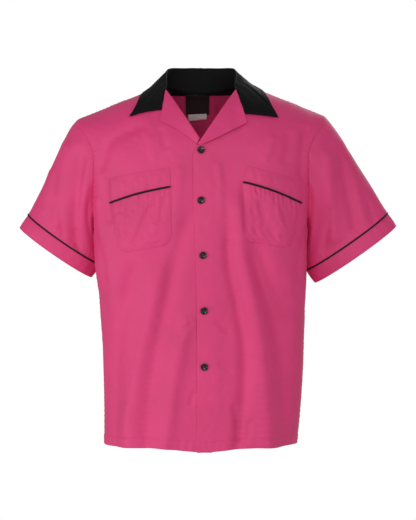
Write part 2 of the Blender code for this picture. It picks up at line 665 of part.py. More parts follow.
def lapel_grid(name, fold, normals, tree):
    """A lapel from its fold over the front, in rows up the fold and columns out to its free edge."""
    side = SIDES[name]
    first_row, tip_x, tip_z, notch_x, notch_z = LAPELS[name]
    tip, notch = np.array([side * tip_x, tip_z]), np.array([side * notch_x, notch_z])
    fold, normals = fold[first_row:], normals[first_row:]
    line = (fold[-1] - fold[0])[[0, 2]]
    outward = np.array([side * abs(line[1]), -abs(line[0])]) / np.linalg.norm(line)
    free_start = fold[0][[0, 2]] + outward * LAPEL_START_WIDTH
    last = len(fold) - 1
    tip_row = round(last * LAPEL_TIP_SHARE)
    points = []
    for i, (foot, normal) in enumerate(zip(fold, normals)):
        if i == last:
            foot = foot + (fold[-2] - foot) * LAPEL_TOP_GAP / np.linalg.norm(fold[-2] - foot)
        free = mix(free_start, tip, i / tip_row)
        if i > tip_row:
            free = mix(tip, notch, (i - tip_row) / (last - tip_row))
        way = free - fold[i][[0, 2]]
        away = out_of_panel(normal, mix(outward, way / np.linalg.norm(way), ease(i / last)))
        row = [u_turn(foot, away, normal, angle) for angle in np.linspace(0.0, math.pi, ROLL_ROWS)]
        for s in np.linspace(0, 1, LAPEL_ACROSS + 1)[1:]:
            x, z = mix(row[-1][[0, 2]], free, s)
            row.append(np.array(on_panel(tree, x, z, LAPEL_LIFT)))
        points.append(row)
    points = np.array(points)
    points[:, ROLL_ROWS:] = settle(points[:, ROLL_ROWS:], tree, LAPEL_LIFT - LAPEL_EASE)
    return points


def u_turn(edge, away, normal, angle):
    """A point of the fold round a panel's edge, from its inner face past the edge and back over its outer."""
    middle = edge - normal * CLOTH + normal * ROLL + away * FOLD_GAP
    return middle - normal * ROLL * math.cos(angle) + away * ROLL * math.sin(angle)


def collar_grid(neck, tree):
    """The collar as one strip round the neck: up the stand, over the roll and down the fall."""
    halves = []
    for name, side in SIDES.items():
        line, normals, aways = neck[name]
        way = np.array([side, 1.0]) * LAPELS[name][3:] - line[0][[0, 2]]
        aways[0] = out_of_panel(normals[0], way)
        steps = np.linalg.norm(np.diff(line, axis=0), axis=1)
        along = np.concatenate([[0.0], np.cumsum(steps)]) / steps.sum()
        rows = []
        for share in np.linspace(0, 1, COLLAR_STATIONS + 1):
            base, normal, away = (
                np.array([np.interp(share, along, values[:, k]) for k in range(3)])
                for values in (line, normals, aways)
            )
            rows_here, names = COLLAR[name], COLLAR_COLUMNS
            value = {c: float(column(rows_here, names, c, share, "share")) for c in names}
            edge = np.array([side * value["edge_x"], value["edge_y"], value["edge_z"]])
            rise = np.array([side * value["rise_x"], value["rise_y"], value["rise_z"]])
            if share < COLLAR_RESTS:
                resting = np.array(on_panel(tree, edge[0], edge[2], LAPEL_LIFT))
                leaving = ease((share - COLLAR_LEAVES) / (COLLAR_RESTS - COLLAR_LEAVES))
                edge = mix(resting, edge, float(leaving))
            rows.append(collar_section(base, normal, away, rise, edge, tree))
        halves.append(rows)
    return np.array(halves[0] + halves[1][::-1][1:])


def collar_section(base, normal, away, rise, edge, tree):
    """One section of the collar, from the neck seam over the roll to the outer edge."""
    height = np.linalg.norm(rise)
    up = rise + away * STAND_START
    up = up / np.linalg.norm(up)
    out = normal * STAND_START + (edge - base) * min(1.0, height / STAND_FULL)
    out = out - up * (out @ up)
    out = out / np.linalg.norm(out)
    aside = math.sqrt(max(0.0, 1 - (up @ away) ** 2))
    foot = base - normal * CLOTH + away * (FOLD_GAP + COLLAR_CLOTH * aside)
    section = [foot + up * height * s for s in np.linspace(0, 1, STAND_ROWS + 1)]
    centre = section[-1] + out * ROLL
    for turn in np.linspace(0, math.pi, ROLL_ROWS + 1)[1:]:
        section.append(centre - out * ROLL * math.cos(turn) + up * ROLL * math.sin(turn))
    start = section[-1]
    bow = FALL_BOW * height / STAND_FULL
    for s in np.linspace(0, 1, FALL_ROWS + 1)[1:]:
        point = Vector(mix(start, edge, s)) + Vector(out) * bow * math.sin(math.pi * s)
        section.append(np.array(keep_clear(tree, point, LAPEL_LIFT - LAPEL_EASE)))
    return section


# ---------------------------------------------------------------- objects


def material(name, colour, roughness, metallic=0.0):
    made = bpy.data.materials.new(name)
    made.use_nodes = True
    shader = made.node_tree.nodes["Principled BSDF"]
    shader.inputs["Base Color"].default_value = (*colour, 1.0)
    shader.inputs["Roughness"].default_value = roughness
    shader.inputs["Metallic"].default_value = metallic
    return made


def add_object(name, bm, collection, finish):
    mesh = bpy.data.meshes.new(name)
    bmesh.ops.triangulate(bm, faces=bm.faces)
    bm.to_mesh(mesh)
    bm.free()
    mesh.materials.append(finish)
    mesh.shade_smooth()
    mesh.set_sharp_from_angle(angle=math.radians(50))
    made = bpy.data.objects.new(name, mesh)
    collection.objects.link(made)
    return made


def add_piping(name, points, radius, closed, collection, finish):
    """A tube along a seam, as a poly spline with a round bevel."""
    curve = bpy.data.curves.new(name, "CURVE")
    curve.dimensions = "3D"
    curve.bevel_depth = radius
    curve.bevel_resolution = 1
    curve.use_fill_caps = not closed
    spline = curve.splines.new("POLY")
    spline.points.add(len(points) - 1)
    for place, point in zip(points, spline.points):
        point.co = (*place, 1.0)
    spline.use_cyclic_u = closed
    curve.materials.append(finish)
    made = bpy.data.objects.new(name, curve)
    collection.objects.link(made)
    return made


BUTTON_STEPS = 16
BUTTON_COLUMNS = ("radius", "height")
BUTTON_PROFILE = ((0.0, 0.55), (0.66, 0.55), (0.80, 1.0), (0.93, 0.92), (1.0, 0.55), (0.80, 0.0), (0.0, 0.0))


def button(name, place, normal, collection, finish):
    """A turned button with a raised rim, its flat back just above the cloth."""
    r, h = BUTTON_RADIUS, BUTTON_THICK
    bm = bmesh.new()
    verts = [bm.verts.new((x * r, 0.0, z * h)) for x, z in BUTTON_PROFILE]
    edges = [bm.edges.new(pair) for pair in zip(verts, verts[1:])]
    round_axis = (0, 0, 1)
    bmesh.ops.spin(bm, geom=verts + edges, axis=round_axis, steps=BUTTON_STEPS, angle=2 * math.pi)
    bmesh.ops.remove_doubles(bm, verts=bm.verts, dist=1e-6)
    bmesh.ops.recalc_face_normals(bm, faces=bm.faces)
    made = add_object(name, bm, collection, finish)
    made.rotation_mode = "QUATERNION"
    made.rotation_quaternion = Vector(normal).to_track_quat("Z", "Y")
    made.location = place
    return made


def inner_patch(tree, width, top, foot, rows):
    """A small sheet on the inside of the back, as seen through the neck."""
    points = np.zeros((rows + 1, LABEL_ACROSS + 1, 3))
    for i, z in enumerate(np.linspace(top, foot, rows + 1)):
        for j, s in enumerate(np.linspace(-0.5, 0.5, LABEL_ACROSS + 1)):
            place, normal, _, _ = tree.ray_cast(Vector((LABEL_X + s * width, 0.0, z)), Vector((0, 1, 0)))
            normal = normal if normal.y < 0 else -normal
            points[i, j] = place + normal * LABEL_LIFT
    return points


def neck_edge(front, back):
    """The neck's edge from the lapel's fold to the centre back, with the normals and the ways out."""
    start = -ROWS["shoulder"] - 1
    lines, normals = [], []
    for grid, toward in ((front, -1.0), (back, 1.0)):
        lines.append(grid[start:, 0])
        normals.append(grid_normals(grid, np.array([0.0, toward, 0.0]))[start:, 0])
    line, normal = (np.concatenate([a[:-1], [(a[-1] + b[-1]) / 2], b[::-1][1:]]) for a, b in (lines, normals))
    first = line[1] - line[0]
    line[0] = line[0] + first * LAPEL_TOP_GAP / np.linalg.norm(first)
    normal /= np.linalg.norm(normal, axis=1, keepdims=True)
    tangent = np.gradient(line, axis=0)
    tangent[-1, 1:] = 0.0
    away = np.cross(tangent, normal)
    away /= np.linalg.norm(away, axis=1, keepdims=True)
    inward = np.array(NECK_MIDDLE) - line
    away *= np.sign((away * inward).sum(axis=1, keepdims=True))
    return line, normal, away


def main():
    for old in list(bpy.data.objects):
        bpy.data.objects.remove(old)
    shirt = bpy.data.collections.new("bowling_shirt")
    bpy.context.scene.collection.children.link(shirt)
    pink = material("pink_cloth", (0.68, 0.075, 0.23), 0.75)
    black = material("black_cloth", (0.012, 0.012, 0.013), 0.7)
    piping = material("black_piping", (0.012, 0.012, 0.013), 0.55)
    plastic = material("black_button", (0.010, 0.010, 0.011), 0.18)
    satin = material("black_label", (0.015, 0.015, 0.016), 0.45)
    white = material("white_tab", (0.80, 0.80, 0.80), 0.6)

    grids = {f"front_{name}": body_grid("front", side) for name, side in SIDES.items()}
    halves = {name: body_grid("back", side) for name, side in SIDES.items()}
    hole = slice(ROWS["lower"], None)
    lapel_rows = slice(ROWS["lower"] + ROWS["chest"], -ROWS["shoulder"])
    sheets = {}
    for name in SIDES:
        sheets[f"front_{name}"] = grid_mesh(grids[f"front_{name}"])
    back = bmesh.new()
    for name in SIDES:
        half = grid_mesh(halves[name])
        mesh = bpy.data.meshes.new("half")
        half.to_mesh(mesh)
        back.from_mesh(mesh)
        half.free()
        bpy.data.meshes.remove(mesh)
    bmesh.ops.remove_doubles(back, verts=back.verts, dist=1e-5)
    bmesh.ops.recalc_face_normals(back, faces=back.faces)
    sheets["back"] = back
    turns = {}
    sleeves = {}
    for name in SIDES:
        front_hole, back_hole = grids[f"front_{name}"][hole, -1], halves[name][hole, -1]
        sleeves[name], turns[name] = sleeve_grid(name, front_hole, back_hole)
        sheets[f"sleeve_{name}"] = grid_mesh(sleeves[name], round_it=True)
        sheets[f"cuff_{name}"] = grid_mesh(cuff_grid(name, turns[name]), round_it=True)

    for name, bm in sheets.items():
        middle = TORSO_MIDDLE
        if name.startswith(("sleeve", "cuff")):
            outer, inner, up = cuff_corners(name.split("_")[1])
            height = SLEEVE_LENGTH if name.startswith("sleeve") else CUFF_DEPTH
            middle = (outer + inner + up * height) / 2
        face_out(bm, middle)
    joined = seam_normals_of(sheets)

    tree = tree_of(*(sheets[n] for n in sheets))
    fronts = tree_of(sheets["front_right"], sheets["front_left"])
    back_tree = tree_of(sheets["back"])

    extra = {}
    for name in SIDES:
        front_tree = tree_of(sheets[f"front_{name}"])
        extra[f"pocket_{name}"] = (pocket_grid(name, front_tree, "bag"), CLOTH, pink)
        extra[f"pocket_band_{name}"] = (pocket_grid(name, front_tree, "band"), CLOTH, pink)
        fold = grids[f"front_{name}"][lapel_rows, 0]
        fold_normals = grid_normals(grids[f"front_{name}"], np.array([0.0, -1.0, 0.0]))[lapel_rows, 0]
        extra[f"lapel_{name}"] = (lapel_grid(name, fold, fold_normals, front_tree), COLLAR_CLOTH, pink)
        line = pocket_piping_line(name, front_tree)
        add_piping(f"pocket_piping_{name}", line, POCKET_PIPING, False, shirt, piping)
        ring = cuff_ring(name, turns[name], CUFF_DEPTH)[:-1]
        add_piping(f"cuff_piping_{name}", ring, CUFF_PIPING, True, shirt, piping)
    left = tree_of(sheets["front_left"])
    for i, (x, z) in enumerate(BUTTONS, start=1):
        place = on_panel(left, x, z, BUTTON_LIFT)
        _, normal, _, _ = fronts.find_nearest(place)
        button(f"button_{i}", place, normal if normal.y < 0 else -normal, shirt, plastic)

    neck = {name: neck_edge(grids[f"front_{name}"], halves[name]) for name in SIDES}
    collar = collar_grid(neck, tree)
    for name, finish in (("label", satin), ("size_tab", white)):
        extra[name] = (inner_patch(back_tree, *LABELS[name]), LABEL_CLOTH, finish)

    for name, bm in sheets.items():
        add_object(name, thicken(bm, CLOTH, joined[name]), shirt, pink)
    for name, (points, thickness, finish) in extra.items():
        bm = grid_mesh(points)
        face_out(bm, BEHIND_BACK if name in ("label", "size_tab") else FRONT_MIDDLE)
        add_object(name, thicken(bm, thickness), shirt, finish)
    bm = grid_mesh(collar)
    face_out(bm, COLLAR_MIDDLE)
    add_object("collar", thicken(bm, COLLAR_CLOTH), shirt, black)


main()
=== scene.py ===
import math

import bmesh
import bpy
import numpy as np
from mathutils import Matrix, Vector
from mathutils.bvhtree import BVHTree


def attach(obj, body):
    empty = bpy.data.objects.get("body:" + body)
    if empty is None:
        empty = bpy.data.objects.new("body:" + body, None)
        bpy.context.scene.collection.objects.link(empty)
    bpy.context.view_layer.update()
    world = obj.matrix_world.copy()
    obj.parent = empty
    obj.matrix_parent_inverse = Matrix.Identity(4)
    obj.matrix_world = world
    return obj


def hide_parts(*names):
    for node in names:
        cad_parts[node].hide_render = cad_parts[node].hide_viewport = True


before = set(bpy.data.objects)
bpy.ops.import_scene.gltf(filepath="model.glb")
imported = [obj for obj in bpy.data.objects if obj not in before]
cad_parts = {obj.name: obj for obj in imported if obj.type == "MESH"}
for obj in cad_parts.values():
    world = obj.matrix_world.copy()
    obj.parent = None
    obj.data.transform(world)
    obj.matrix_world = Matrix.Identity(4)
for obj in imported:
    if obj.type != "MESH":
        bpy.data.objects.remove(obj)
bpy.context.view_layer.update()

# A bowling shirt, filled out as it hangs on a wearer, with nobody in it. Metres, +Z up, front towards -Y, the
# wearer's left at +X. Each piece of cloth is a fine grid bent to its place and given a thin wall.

# Sizes that the whole shirt is worked out from
HEM_Z = -0.7605  # at the centre, below the shoulder point at the neck
HEM_SIDE_Z = -0.7520
HEM_LIFT = 0.0053  # of the hem between the centre and the side seam
UNDERARM_Z = -0.295
FOLD_END_Z = -0.147  # where the lapel's fold meets the front edge
NECK_HALF = 0.078  # half the neck's width at the shoulder seams
SHOULDER_HALF = 0.258  # half the width from shoulder tip to shoulder tip
SHOULDER_SLOPE = 0.400  # fall for each metre outwards
SHOULDER_START = {"right": 0.0788, "left": 0.0965}  # x outwards from which the shoulder line falls
SEAM_Y = 0.010  # side and shoulder seams lie on this plane
OVERLAP = 0.0155  # each front edge passes the centre by this much
LEAN = 0.0075  # how far the front edges drift to the wearer's left by the lowest button
LEAN_FROM, LEAN_OVER = -0.20, 0.28
SECTION_POWER = 2.5  # of the body's superellipse section
SHOULDER_SOFT = 0.006  # over which that line bends
SHOULDER_ROUND = 0.150  # height over which the chest rounds over to the shoulder seam
PINCH_REACH = {"front": 0.35, "back": 0.48}  # share of the depth over which the side is pressed in

CLOTH = 0.00055
DOUBLE = 0.0010  # hem and facing, where the cloth is turned in
COLLAR_CLOTH = 0.0013  # two layers and an interlining
LABEL_WALL = 0.0004
LAP = 0.0011  # each front moves this far, out or in, where the two overlap
LAP_OVER = 0.030
ROLL = 0.0026  # radius of the fold that turns a lapel or the collar over

CUFF_DEPTH = 0.033
CUFF_HALF_THICK = 0.047  # half the sleeve opening, front to back
CUFF_Y = 0.020  # the sleeves hang a little behind the seam plane
CUFF_WIDENS = 1.9  # for each metre up the sleeve
FRONT_DROP = 0.007  # how much lower the front of the cuff hangs
# How the sleeve sets off from the armhole over the shoulder, under the arm and between, and how it arrives
LEAVE_TOP = (0.095, 0.0, -0.080)
LEAVE_UNDER = (0.045, 0.0, -0.030)
LEAVE_ROUND = (0.020, 0.0, -0.050)
LEAVE_CUFF = 0.65
SLEEVE_LENGTH = 0.24
CUFF_PIPING = 0.0018  # radii
POCKET_PIPING = 0.0021

BUTTON_RADIUS = 0.0077
BUTTON_THICK = 0.0030
BUTTON_LIFT = 0.0006  # of its back above the cloth

# Rows of the body grids in each band, from the hem up
ROWS = {"lower": 150, "chest": 42, "lapel": 48, "shoulder": 16}
HEM_ROWS = 26
HEM_ROW = 0.001
ROW_SAMPLES = 420

# The body's sections: height, half widths to the wearer's right and left, depth from the seam plane to the
# front and to the back, and how far the side is pressed in by the sleeve
BODY_COLUMNS = ("z", "right", "left", "front", "back", "pinch")
BODY = (
    (-0.770, 0.2025, 0.1985, 0.127, 0.119, 0.000),
    (-0.700, 0.2025, 0.2065, 0.128, 0.118, 0.000),
    (-0.600, 0.2040, 0.2135, 0.130, 0.117, 0.000),
    (-0.500, 0.2090, 0.2180, 0.133, 0.118, 0.001),
    (-0.450, 0.2190, 0.2265, 0.135, 0.120, 0.010),
    (-0.410, 0.2330, 0.2360, 0.137, 0.122, 0.028),
    (-0.370, 0.2400, 0.2390, 0.139, 0.124, 0.036),
    (-0.330, 0.2400, 0.2390, 0.140, 0.127, 0.037),
    (-0.290, 0.2400, 0.2390, 0.141, 0.130, 0.036),
    (-0.250, 0.2400, 0.2400, 0.141, 0.133, 0.028),
    (-0.215, 0.2420, 0.2420, 0.140, 0.134, 0.018),
    (-0.180, 0.2470, 0.2470, 0.137, 0.134, 0.008),
    (-0.140, 0.2600, 0.2600, 0.133, 0.133, 0.000),
    (-0.090, 0.3000, 0.3000, 0.128, 0.131, 0.000),
    (0.010, 0.3600, 0.3600, 0.124, 0.131, 0.000),
)

# The armhole seam, from the underarm up to the band that rounds over the shoulder
ARMHOLE_COLUMNS = ("share", "x", "z")
ARMHOLE = (
    (0.00, 0.2400, UNDERARM_Z),
    (0.16, 0.2330, -0.268),
    (0.34, 0.2285, -0.232),
    (0.52, 0.2235, -0.194),
    (0.70, 0.2225, -0.153),
    (0.86, 0.2330, -0.119),
    (1.00, 0.2490, -0.0935),
)
CHEST_SHARE = 0.44  # of the armhole lies below the end of the lapel's fold

# Where the front's edge runs once it leaves the button line, and the neck at the back
APEX = (0.0735, -0.0190)  # the lapel's fold meets the collar here, x and z
BACK_NECK_Z = -0.0135

# Sleeves: the cuff's hem as seen from the front, outer and inner corner, x outwards and z
CUFFS = {
    "right": (0.3830, -0.2985, 0.2300, -0.4035),
    "left": (0.4120, -0.2950, 0.2395, -0.4150),
}

# The collar by stations from its end on the front to the centre back: how its roll's top stands off the
# neck's edge, and where its outer edge runs, x outwards
COLLAR_COLUMNS = ("share", "x", "y", "z")
COLLAR_RISES = (
    (0.00, 0.0000, 0.0000, 0.0000),
    (0.10, -0.0010, 0.0010, 0.0030),
    (0.22, 0.0000, 0.0030, 0.0090),
    (0.36, 0.0010, 0.0050, 0.0220),
    (0.50, 0.0010, 0.0060, 0.0360),
    (0.64, 0.0000, 0.0090, 0.0432),
    (0.76, -0.0010, 0.0100, 0.0475),
    (0.88, -0.0020, 0.0110, 0.0510),
    (1.00, 0.0000, 0.0120, 0.0526),
)
COLLAR_EDGES = {
    "right": (
        (0.00, 0.0808, -0.0900, -0.0588),
        (0.10, 0.1100, -0.0900, -0.0620),
        (0.22, 0.1483, -0.0900, -0.0731),
        (0.36, 0.1300, -0.0450, -0.0400),
        (0.50, 0.1180, 0.0050, -0.0175),
        (0.64, 0.1050, 0.0480, -0.0140),
        (0.76, 0.0930, 0.0800, -0.0120),
        (0.88, 0.0540, 0.0970, -0.0140),
        (1.00, 0.0000, 0.1020, -0.0150),
    ),
    "left": (
        (0.00, 0.0900, -0.0900, -0.0680),
        (0.10, 0.1180, -0.0900, -0.0700),
        (0.22, 0.1604, -0.0900, -0.0744),
        (0.36, 0.1410, -0.0450, -0.0370),
        (0.50, 0.1195, 0.0050, -0.0130),
        (0.64, 0.1070, 0.0480, -0.0130),
        (0.76, 0.0930, 0.0800, -0.0120),
        (0.88, 0.0540, 0.0970, -0.0140),
        (1.00, 0.0000, 0.1020, -0.0150),
    ),
}
COLLAR_LEAVES, COLLAR_RESTS = 0.34, 0.45  # shares over which the fall's edge comes off the front
COLLAR_CLEAR = 0.0023  # of the fall's outer face from the cloth below it
CLEAR_REACHES, CLEAR_LEAST = (2, 1), 0.5  # steps over which the push that keeps it so is evened
FALL_EVENED, FALL_TIP_ROW = 4, 32  # steps over which the fall is evened behind its corners
WAYS_EVENED = 3  # steps over which normals are
STAND_ROWS = 14
ROLL_ROWS = 9
FALL_ROW = STAND_ROWS + ROLL_ROWS  # where the fall starts
STAND_START = 0.006  # the stand's height from which it no longer lies in the front's own plane
STAND_FULL = 0.030
STAND_LEAST = 0.0008
FALL_BOW = 0.001
LAPEL_TOP_GAP = 0.0012
FOLD_GAP = 0.0008  # between a panel's edge and the piece that is turned over it

# Lapels: how far along the fold the piece starts, its free corners at the tip and at the notch, x outwards
# and z, and how far above the front its free edge rests. Then where that edge starts, from the fold's foot
LAPELS = {
    "right": (0.19, 0.0846, -0.0820, 0.0790, -0.0600, 0.0024),
    "left": (0.095, 0.0938, -0.0885, 0.0880, -0.0695, 0.0072),
}
LAPEL_STARTS = {"right": (0.0042, -0.0104), "left": (0.0030, -0.0022)}
LAPEL_TIP_SHARE = 0.70  # of the way up the fold, level with the tip

# Pockets as seen from the front: corners inner top, outer top, outer foot, inner foot, x outwards and z
POCKET_BANDS = {
    "right": ((0.0630, -0.1790), (0.1880, -0.1985), (0.1860, -0.2495), (0.0610, -0.2175)),
    "left": ((0.0950, -0.1755), (0.2060, -0.2060), (0.2065, -0.2490), (0.0850, -0.2070)),
}
POCKET_BAGS = {
    "right": ((0.0610, -0.2200), (0.1860, -0.2520), (0.1680, -0.3540), (0.0600, -0.3370)),
    "left": ((0.0855, -0.2095), (0.2065, -0.2515), (0.1870, -0.3440), (0.0870, -0.3300)),
}
POCKET_CORNER = 0.24  # share of the bag's height that its round corners take
POCKET_NARROW = 0.30
PIPING_BOW = 0.0035  # upwards, at its middle
PIPING_LIFT = 0.0027
PIPING_STEP = 0.002
PIPING_SPACE = 0.0012  # from the line of a pocket's piping to the edges on each side of it

BUTTONS = ((0.0005, -0.1440), (0.0007, -0.2460), (0.0045, -0.3580), (0.0070, -0.4710), (0.0075, -0.5855))

# Places inside the neck opening, the torso and the collar
NECK_MIDDLE = (0.0, 0.0, 0.06)
TORSO_MIDDLE = (0.0, SEAM_Y, -0.30)
COLLAR_MIDDLE = (0.0, SEAM_Y, -0.10)

# The band inside the back of the neck: half its width, its lower line, and its face above the back's outer
# face. Then the label and its tab: width, top, foot and rows
BAND_HALF, BAND_FOOT, BAND_TILT, BAND_TOP_GAP = 0.0766, -0.0153, 0.012, 0.0022
BAND_LIFT, BAND_WALL, BAND_ROWS, BAND_ACROSS = 0.0020, 0.0009, 12, 76
LABELS = {"label": (0.050, -0.0135, -0.0528, 24), "size_tab": (0.040, -0.0500, -0.0643, 8)}
LABEL_X = -0.008
LABEL_ACROSS = 30
LABEL_LIFT = 0.0028  # of its face from the back's outer face

# The largest folds: panel, height of the ridge (minus for a trough), half width, and the points it runs
# through as seen from the front, x and z
FOLDS = (
    ("front", -0.0095, 0.020, ((0.093, -0.318), (0.125, -0.408), (0.154, -0.489),
        (0.174, -0.617), (0.182, -0.770))),
    ("front", 0.0095, 0.019, ((0.070, -0.215), (0.080, -0.307), (0.102, -0.428),
        (0.125, -0.570), (0.140, -0.770))),
    ("front", -0.0080, 0.013, ((0.058, -0.240), (0.058, -0.367), (0.074, -0.449),
        (0.089, -0.530), (0.089, -0.637), (0.072, -0.770))),
    ("front", 0.0080, 0.020, ((-0.070, -0.340), (-0.101, -0.489), (-0.130, -0.611), (-0.152, -0.770))),
    ("front", -0.0060, 0.018, ((-0.130, -0.357), (-0.155, -0.449), (-0.171, -0.540), (-0.182, -0.770))),
    ("front", -0.0070, 0.017, ((-0.023, -0.250), (-0.039, -0.327), (-0.067, -0.428),
        (-0.100, -0.591), (-0.116, -0.770))),
    ("front", 0.0070, 0.015, ((-0.022, -0.469), (-0.046, -0.571), (-0.074, -0.770))),
    ("front", -0.0045, 0.012, ((-0.104, -0.085), (-0.182, -0.120), (-0.208, -0.175))),
    ("front", -0.0060, 0.011, ((0.214, -0.085), (0.217, -0.130), (0.212, -0.190))),
    ("back", -0.0080, 0.018, ((-0.070, -0.160), (-0.082, -0.350), (-0.100, -0.560), (-0.118, -0.770))),
    ("back", 0.0080, 0.022, ((-0.030, -0.200), (-0.036, -0.420), (-0.052, -0.770))),
    ("back", -0.0070, 0.017, ((0.024, -0.240), (0.018, -0.450), (0.004, -0.770))),
    ("back", 0.0075, 0.020, ((0.075, -0.180), (0.080, -0.400), (0.072, -0.770))),
    ("back", -0.0085, 0.019, ((0.118, -0.230), (0.134, -0.430), (0.142, -0.770))),
    ("sleeve", -0.0060, 0.013, ((-0.247, -0.125), (-0.255, -0.190), (-0.262, -0.260), (-0.266, -0.340))),
    ("sleeve", 0.0045, 0.012, ((-0.278, -0.110), (-0.288, -0.190), (-0.300, -0.290))),
    ("sleeve", 0.0060, 0.014, ((0.262, -0.130), (0.266, -0.210), (0.276, -0.320))),
    ("sleeve", -0.0050, 0.013, ((0.290, -0.120), (0.302, -0.200), (0.322, -0.300))),
)
FOLD_FADE = 0.16  # share of a fold's length over which it rises from nothing
FOLD_STEPS = 60
SEAM_FADE = 0.14  # share of a panel's width over which folds die away at the side and the armhole
SHOULDER_FADE = 0.22  # and of its height at the shoulder

# Smaller creases, in the same way. They fade at both ends
CREASES = (
    ("front", -0.0016, 0.006, ((-0.016, -0.490), (-0.032, -0.508), (-0.050, -0.526))),
    ("front", -0.0015, 0.006, ((-0.012, -0.633), (-0.017, -0.650), (-0.022, -0.668))),
    ("front", 0.0018, 0.011, ((-0.148, -0.655), (-0.155, -0.694), (-0.160, -0.735))),
    ("front", -0.0020, 0.009, ((-0.083, -0.096), (-0.077, -0.120), (-0.069, -0.145))),
    ("front", 0.0014, 0.008, ((-0.103, -0.110), (-0.100, -0.140), (-0.092, -0.172))),
    ("front", -0.0030, 0.010, ((-0.196, -0.190), (-0.196, -0.240), (-0.184, -0.300))),
    ("front", 0.0022, 0.009, ((-0.214, -0.230), (-0.210, -0.280), (-0.200, -0.330))),
    ("front", -0.0018, 0.008, ((-0.226, -0.300), (-0.205, -0.360), (-0.196, -0.430))),
    ("front", 0.0014, 0.010, ((-0.040, -0.170), (-0.046, -0.220), (-0.050, -0.280))),
    ("front", -0.0015, 0.005, ((0.025, -0.490), (0.042, -0.503), (0.060, -0.517))),
    ("front", -0.0015, 0.005, ((0.033, -0.576), (0.049, -0.587), (0.066, -0.599))),
    ("front", -0.0022, 0.007, ((0.066, -0.655), (0.074, -0.695), (0.080, -0.750))),
    ("front", -0.0020, 0.007, ((0.102, -0.690), (0.097, -0.720), (0.090, -0.752))),
    ("front", -0.0020, 0.006, ((0.085, -0.200), (0.089, -0.260), (0.094, -0.320))),
    ("front", 0.0016, 0.008, ((0.036, -0.160), (0.040, -0.220), (0.042, -0.290))),
    ("front", -0.0020, 0.010, ((0.182, -0.100), (0.178, -0.135), (0.172, -0.175))),
    ("front", 0.0016, 0.009, ((0.150, -0.110), (0.140, -0.140), (0.126, -0.170))),
    ("front", -0.0020, 0.009, ((0.222, -0.290), (0.206, -0.350), (0.198, -0.420))),
    ("front", 0.0016, 0.010, ((0.180, -0.380), (0.190, -0.480), (0.192, -0.600))),
    ("back", -0.0030, 0.006, ((0.026, -0.020), (0.030, -0.070), (0.036, -0.130))),
    ("back", 0.0016, 0.006, ((0.044, -0.020), (0.048, -0.070), (0.056, -0.120))),
    ("back", -0.0016, 0.006, ((-0.040, -0.025), (-0.042, -0.070), (-0.050, -0.120))),
    ("back", 0.0022, 0.014, ((-0.100, -0.120), (-0.135, -0.200), (-0.160, -0.310))),
    ("back", -0.0024, 0.012, ((0.105, -0.120), (0.135, -0.200), (0.152, -0.300))),
    ("back", -0.0022, 0.010, ((-0.180, -0.180), (-0.190, -0.250), (-0.205, -0.300))),
    ("back", 0.0020, 0.010, ((0.190, -0.190), (0.200, -0.250), (0.212, -0.300))),
    ("back", -0.0016, 0.006, ((-0.150, -0.450), (-0.130, -0.472), (-0.108, -0.495))),
    ("back", -0.0015, 0.006, ((0.048, -0.560), (0.070, -0.580), (0.094, -0.602))),
    ("back", -0.0016, 0.006, ((-0.064, -0.640), (-0.050, -0.664), (-0.034, -0.690))),
    ("back", -0.0020, 0.007, ((0.124, -0.660), (0.113, -0.700), (0.102, -0.745))),
    ("back", -0.0018, 0.007, ((-0.150, -0.680), (-0.156, -0.715), (-0.166, -0.750))),
    ("sleeve", 0.0020, 0.010, ((-0.312, -0.170), (-0.320, -0.220), (-0.330, -0.280))),
    ("sleeve", -0.0016, 0.007, ((-0.298, -0.230), (-0.292, -0.280), (-0.286, -0.330))),
    ("sleeve", -0.0015, 0.006, ((-0.262, -0.300), (-0.258, -0.330), (-0.252, -0.365))),
    ("sleeve", 0.0018, 0.010, ((0.316, -0.180), (0.328, -0.240), (0.342, -0.300))),
    ("sleeve", -0.0018, 0.007, ((0.272, -0.250), (0.264, -0.300), (0.254, -0.360))),
    ("sleeve", -0.0014, 0.006, ((0.350, -0.240), (0.356, -0.270), (0.364, -0.300))),
    ("sleeve_back", -0.0030, 0.012, ((-0.262, -0.130), (-0.276, -0.200), (-0.290, -0.290))),
    ("sleeve_back", 0.0030, 0.012, ((-0.292, -0.130), (-0.310, -0.200), (-0.326, -0.280))),
    ("sleeve_back", 0.0030, 0.012, ((0.268, -0.130), (0.284, -0.210), (0.296, -0.310))),
    ("sleeve_back", -0.0030, 0.012, ((0.300, -0.130), (0.320, -0.200), (0.340, -0.280))),
    ("pocket_bag", -0.0020, 0.006, ((-0.071, -0.236), (-0.077, -0.262), (-0.084, -0.292))),
    ("pocket_bag", -0.0026, 0.008, ((-0.097, -0.250), (-0.110, -0.285), (-0.124, -0.315), (-0.137, -0.346))),
    ("pocket_bag", 0.0018, 0.007, ((-0.161, -0.268), (-0.160, -0.296), (-0.156, -0.330))),
    ("pocket_bag", 0.0016, 0.008, ((-0.092, -0.290), (-0.094, -0.312), (-0.092, -0.334))),
    ("pocket_bag", -0.0014, 0.004, ((-0.150, -0.246), (-0.148, -0.262), (-0.147, -0.280))),
    ("pocket_bag", -0.0020, 0.008, ((0.120, -0.236), (0.132, -0.290), (0.154, -0.336))),
    ("pocket_bag", 0.0018, 0.008, ((0.148, -0.248), (0.160, -0.286), (0.174, -0.320))),
    ("pocket_bag", -0.0016, 0.003, ((0.111, -0.219), (0.114, -0.226), (0.118, -0.238))),
    ("pocket_band", -0.0008, 0.008, ((-0.150, -0.196), (-0.146, -0.214), (-0.150, -0.232))),
    ("pocket_band", -0.0008, 0.008, ((0.150, -0.196), (0.152, -0.212), (0.150, -0.226))),
)

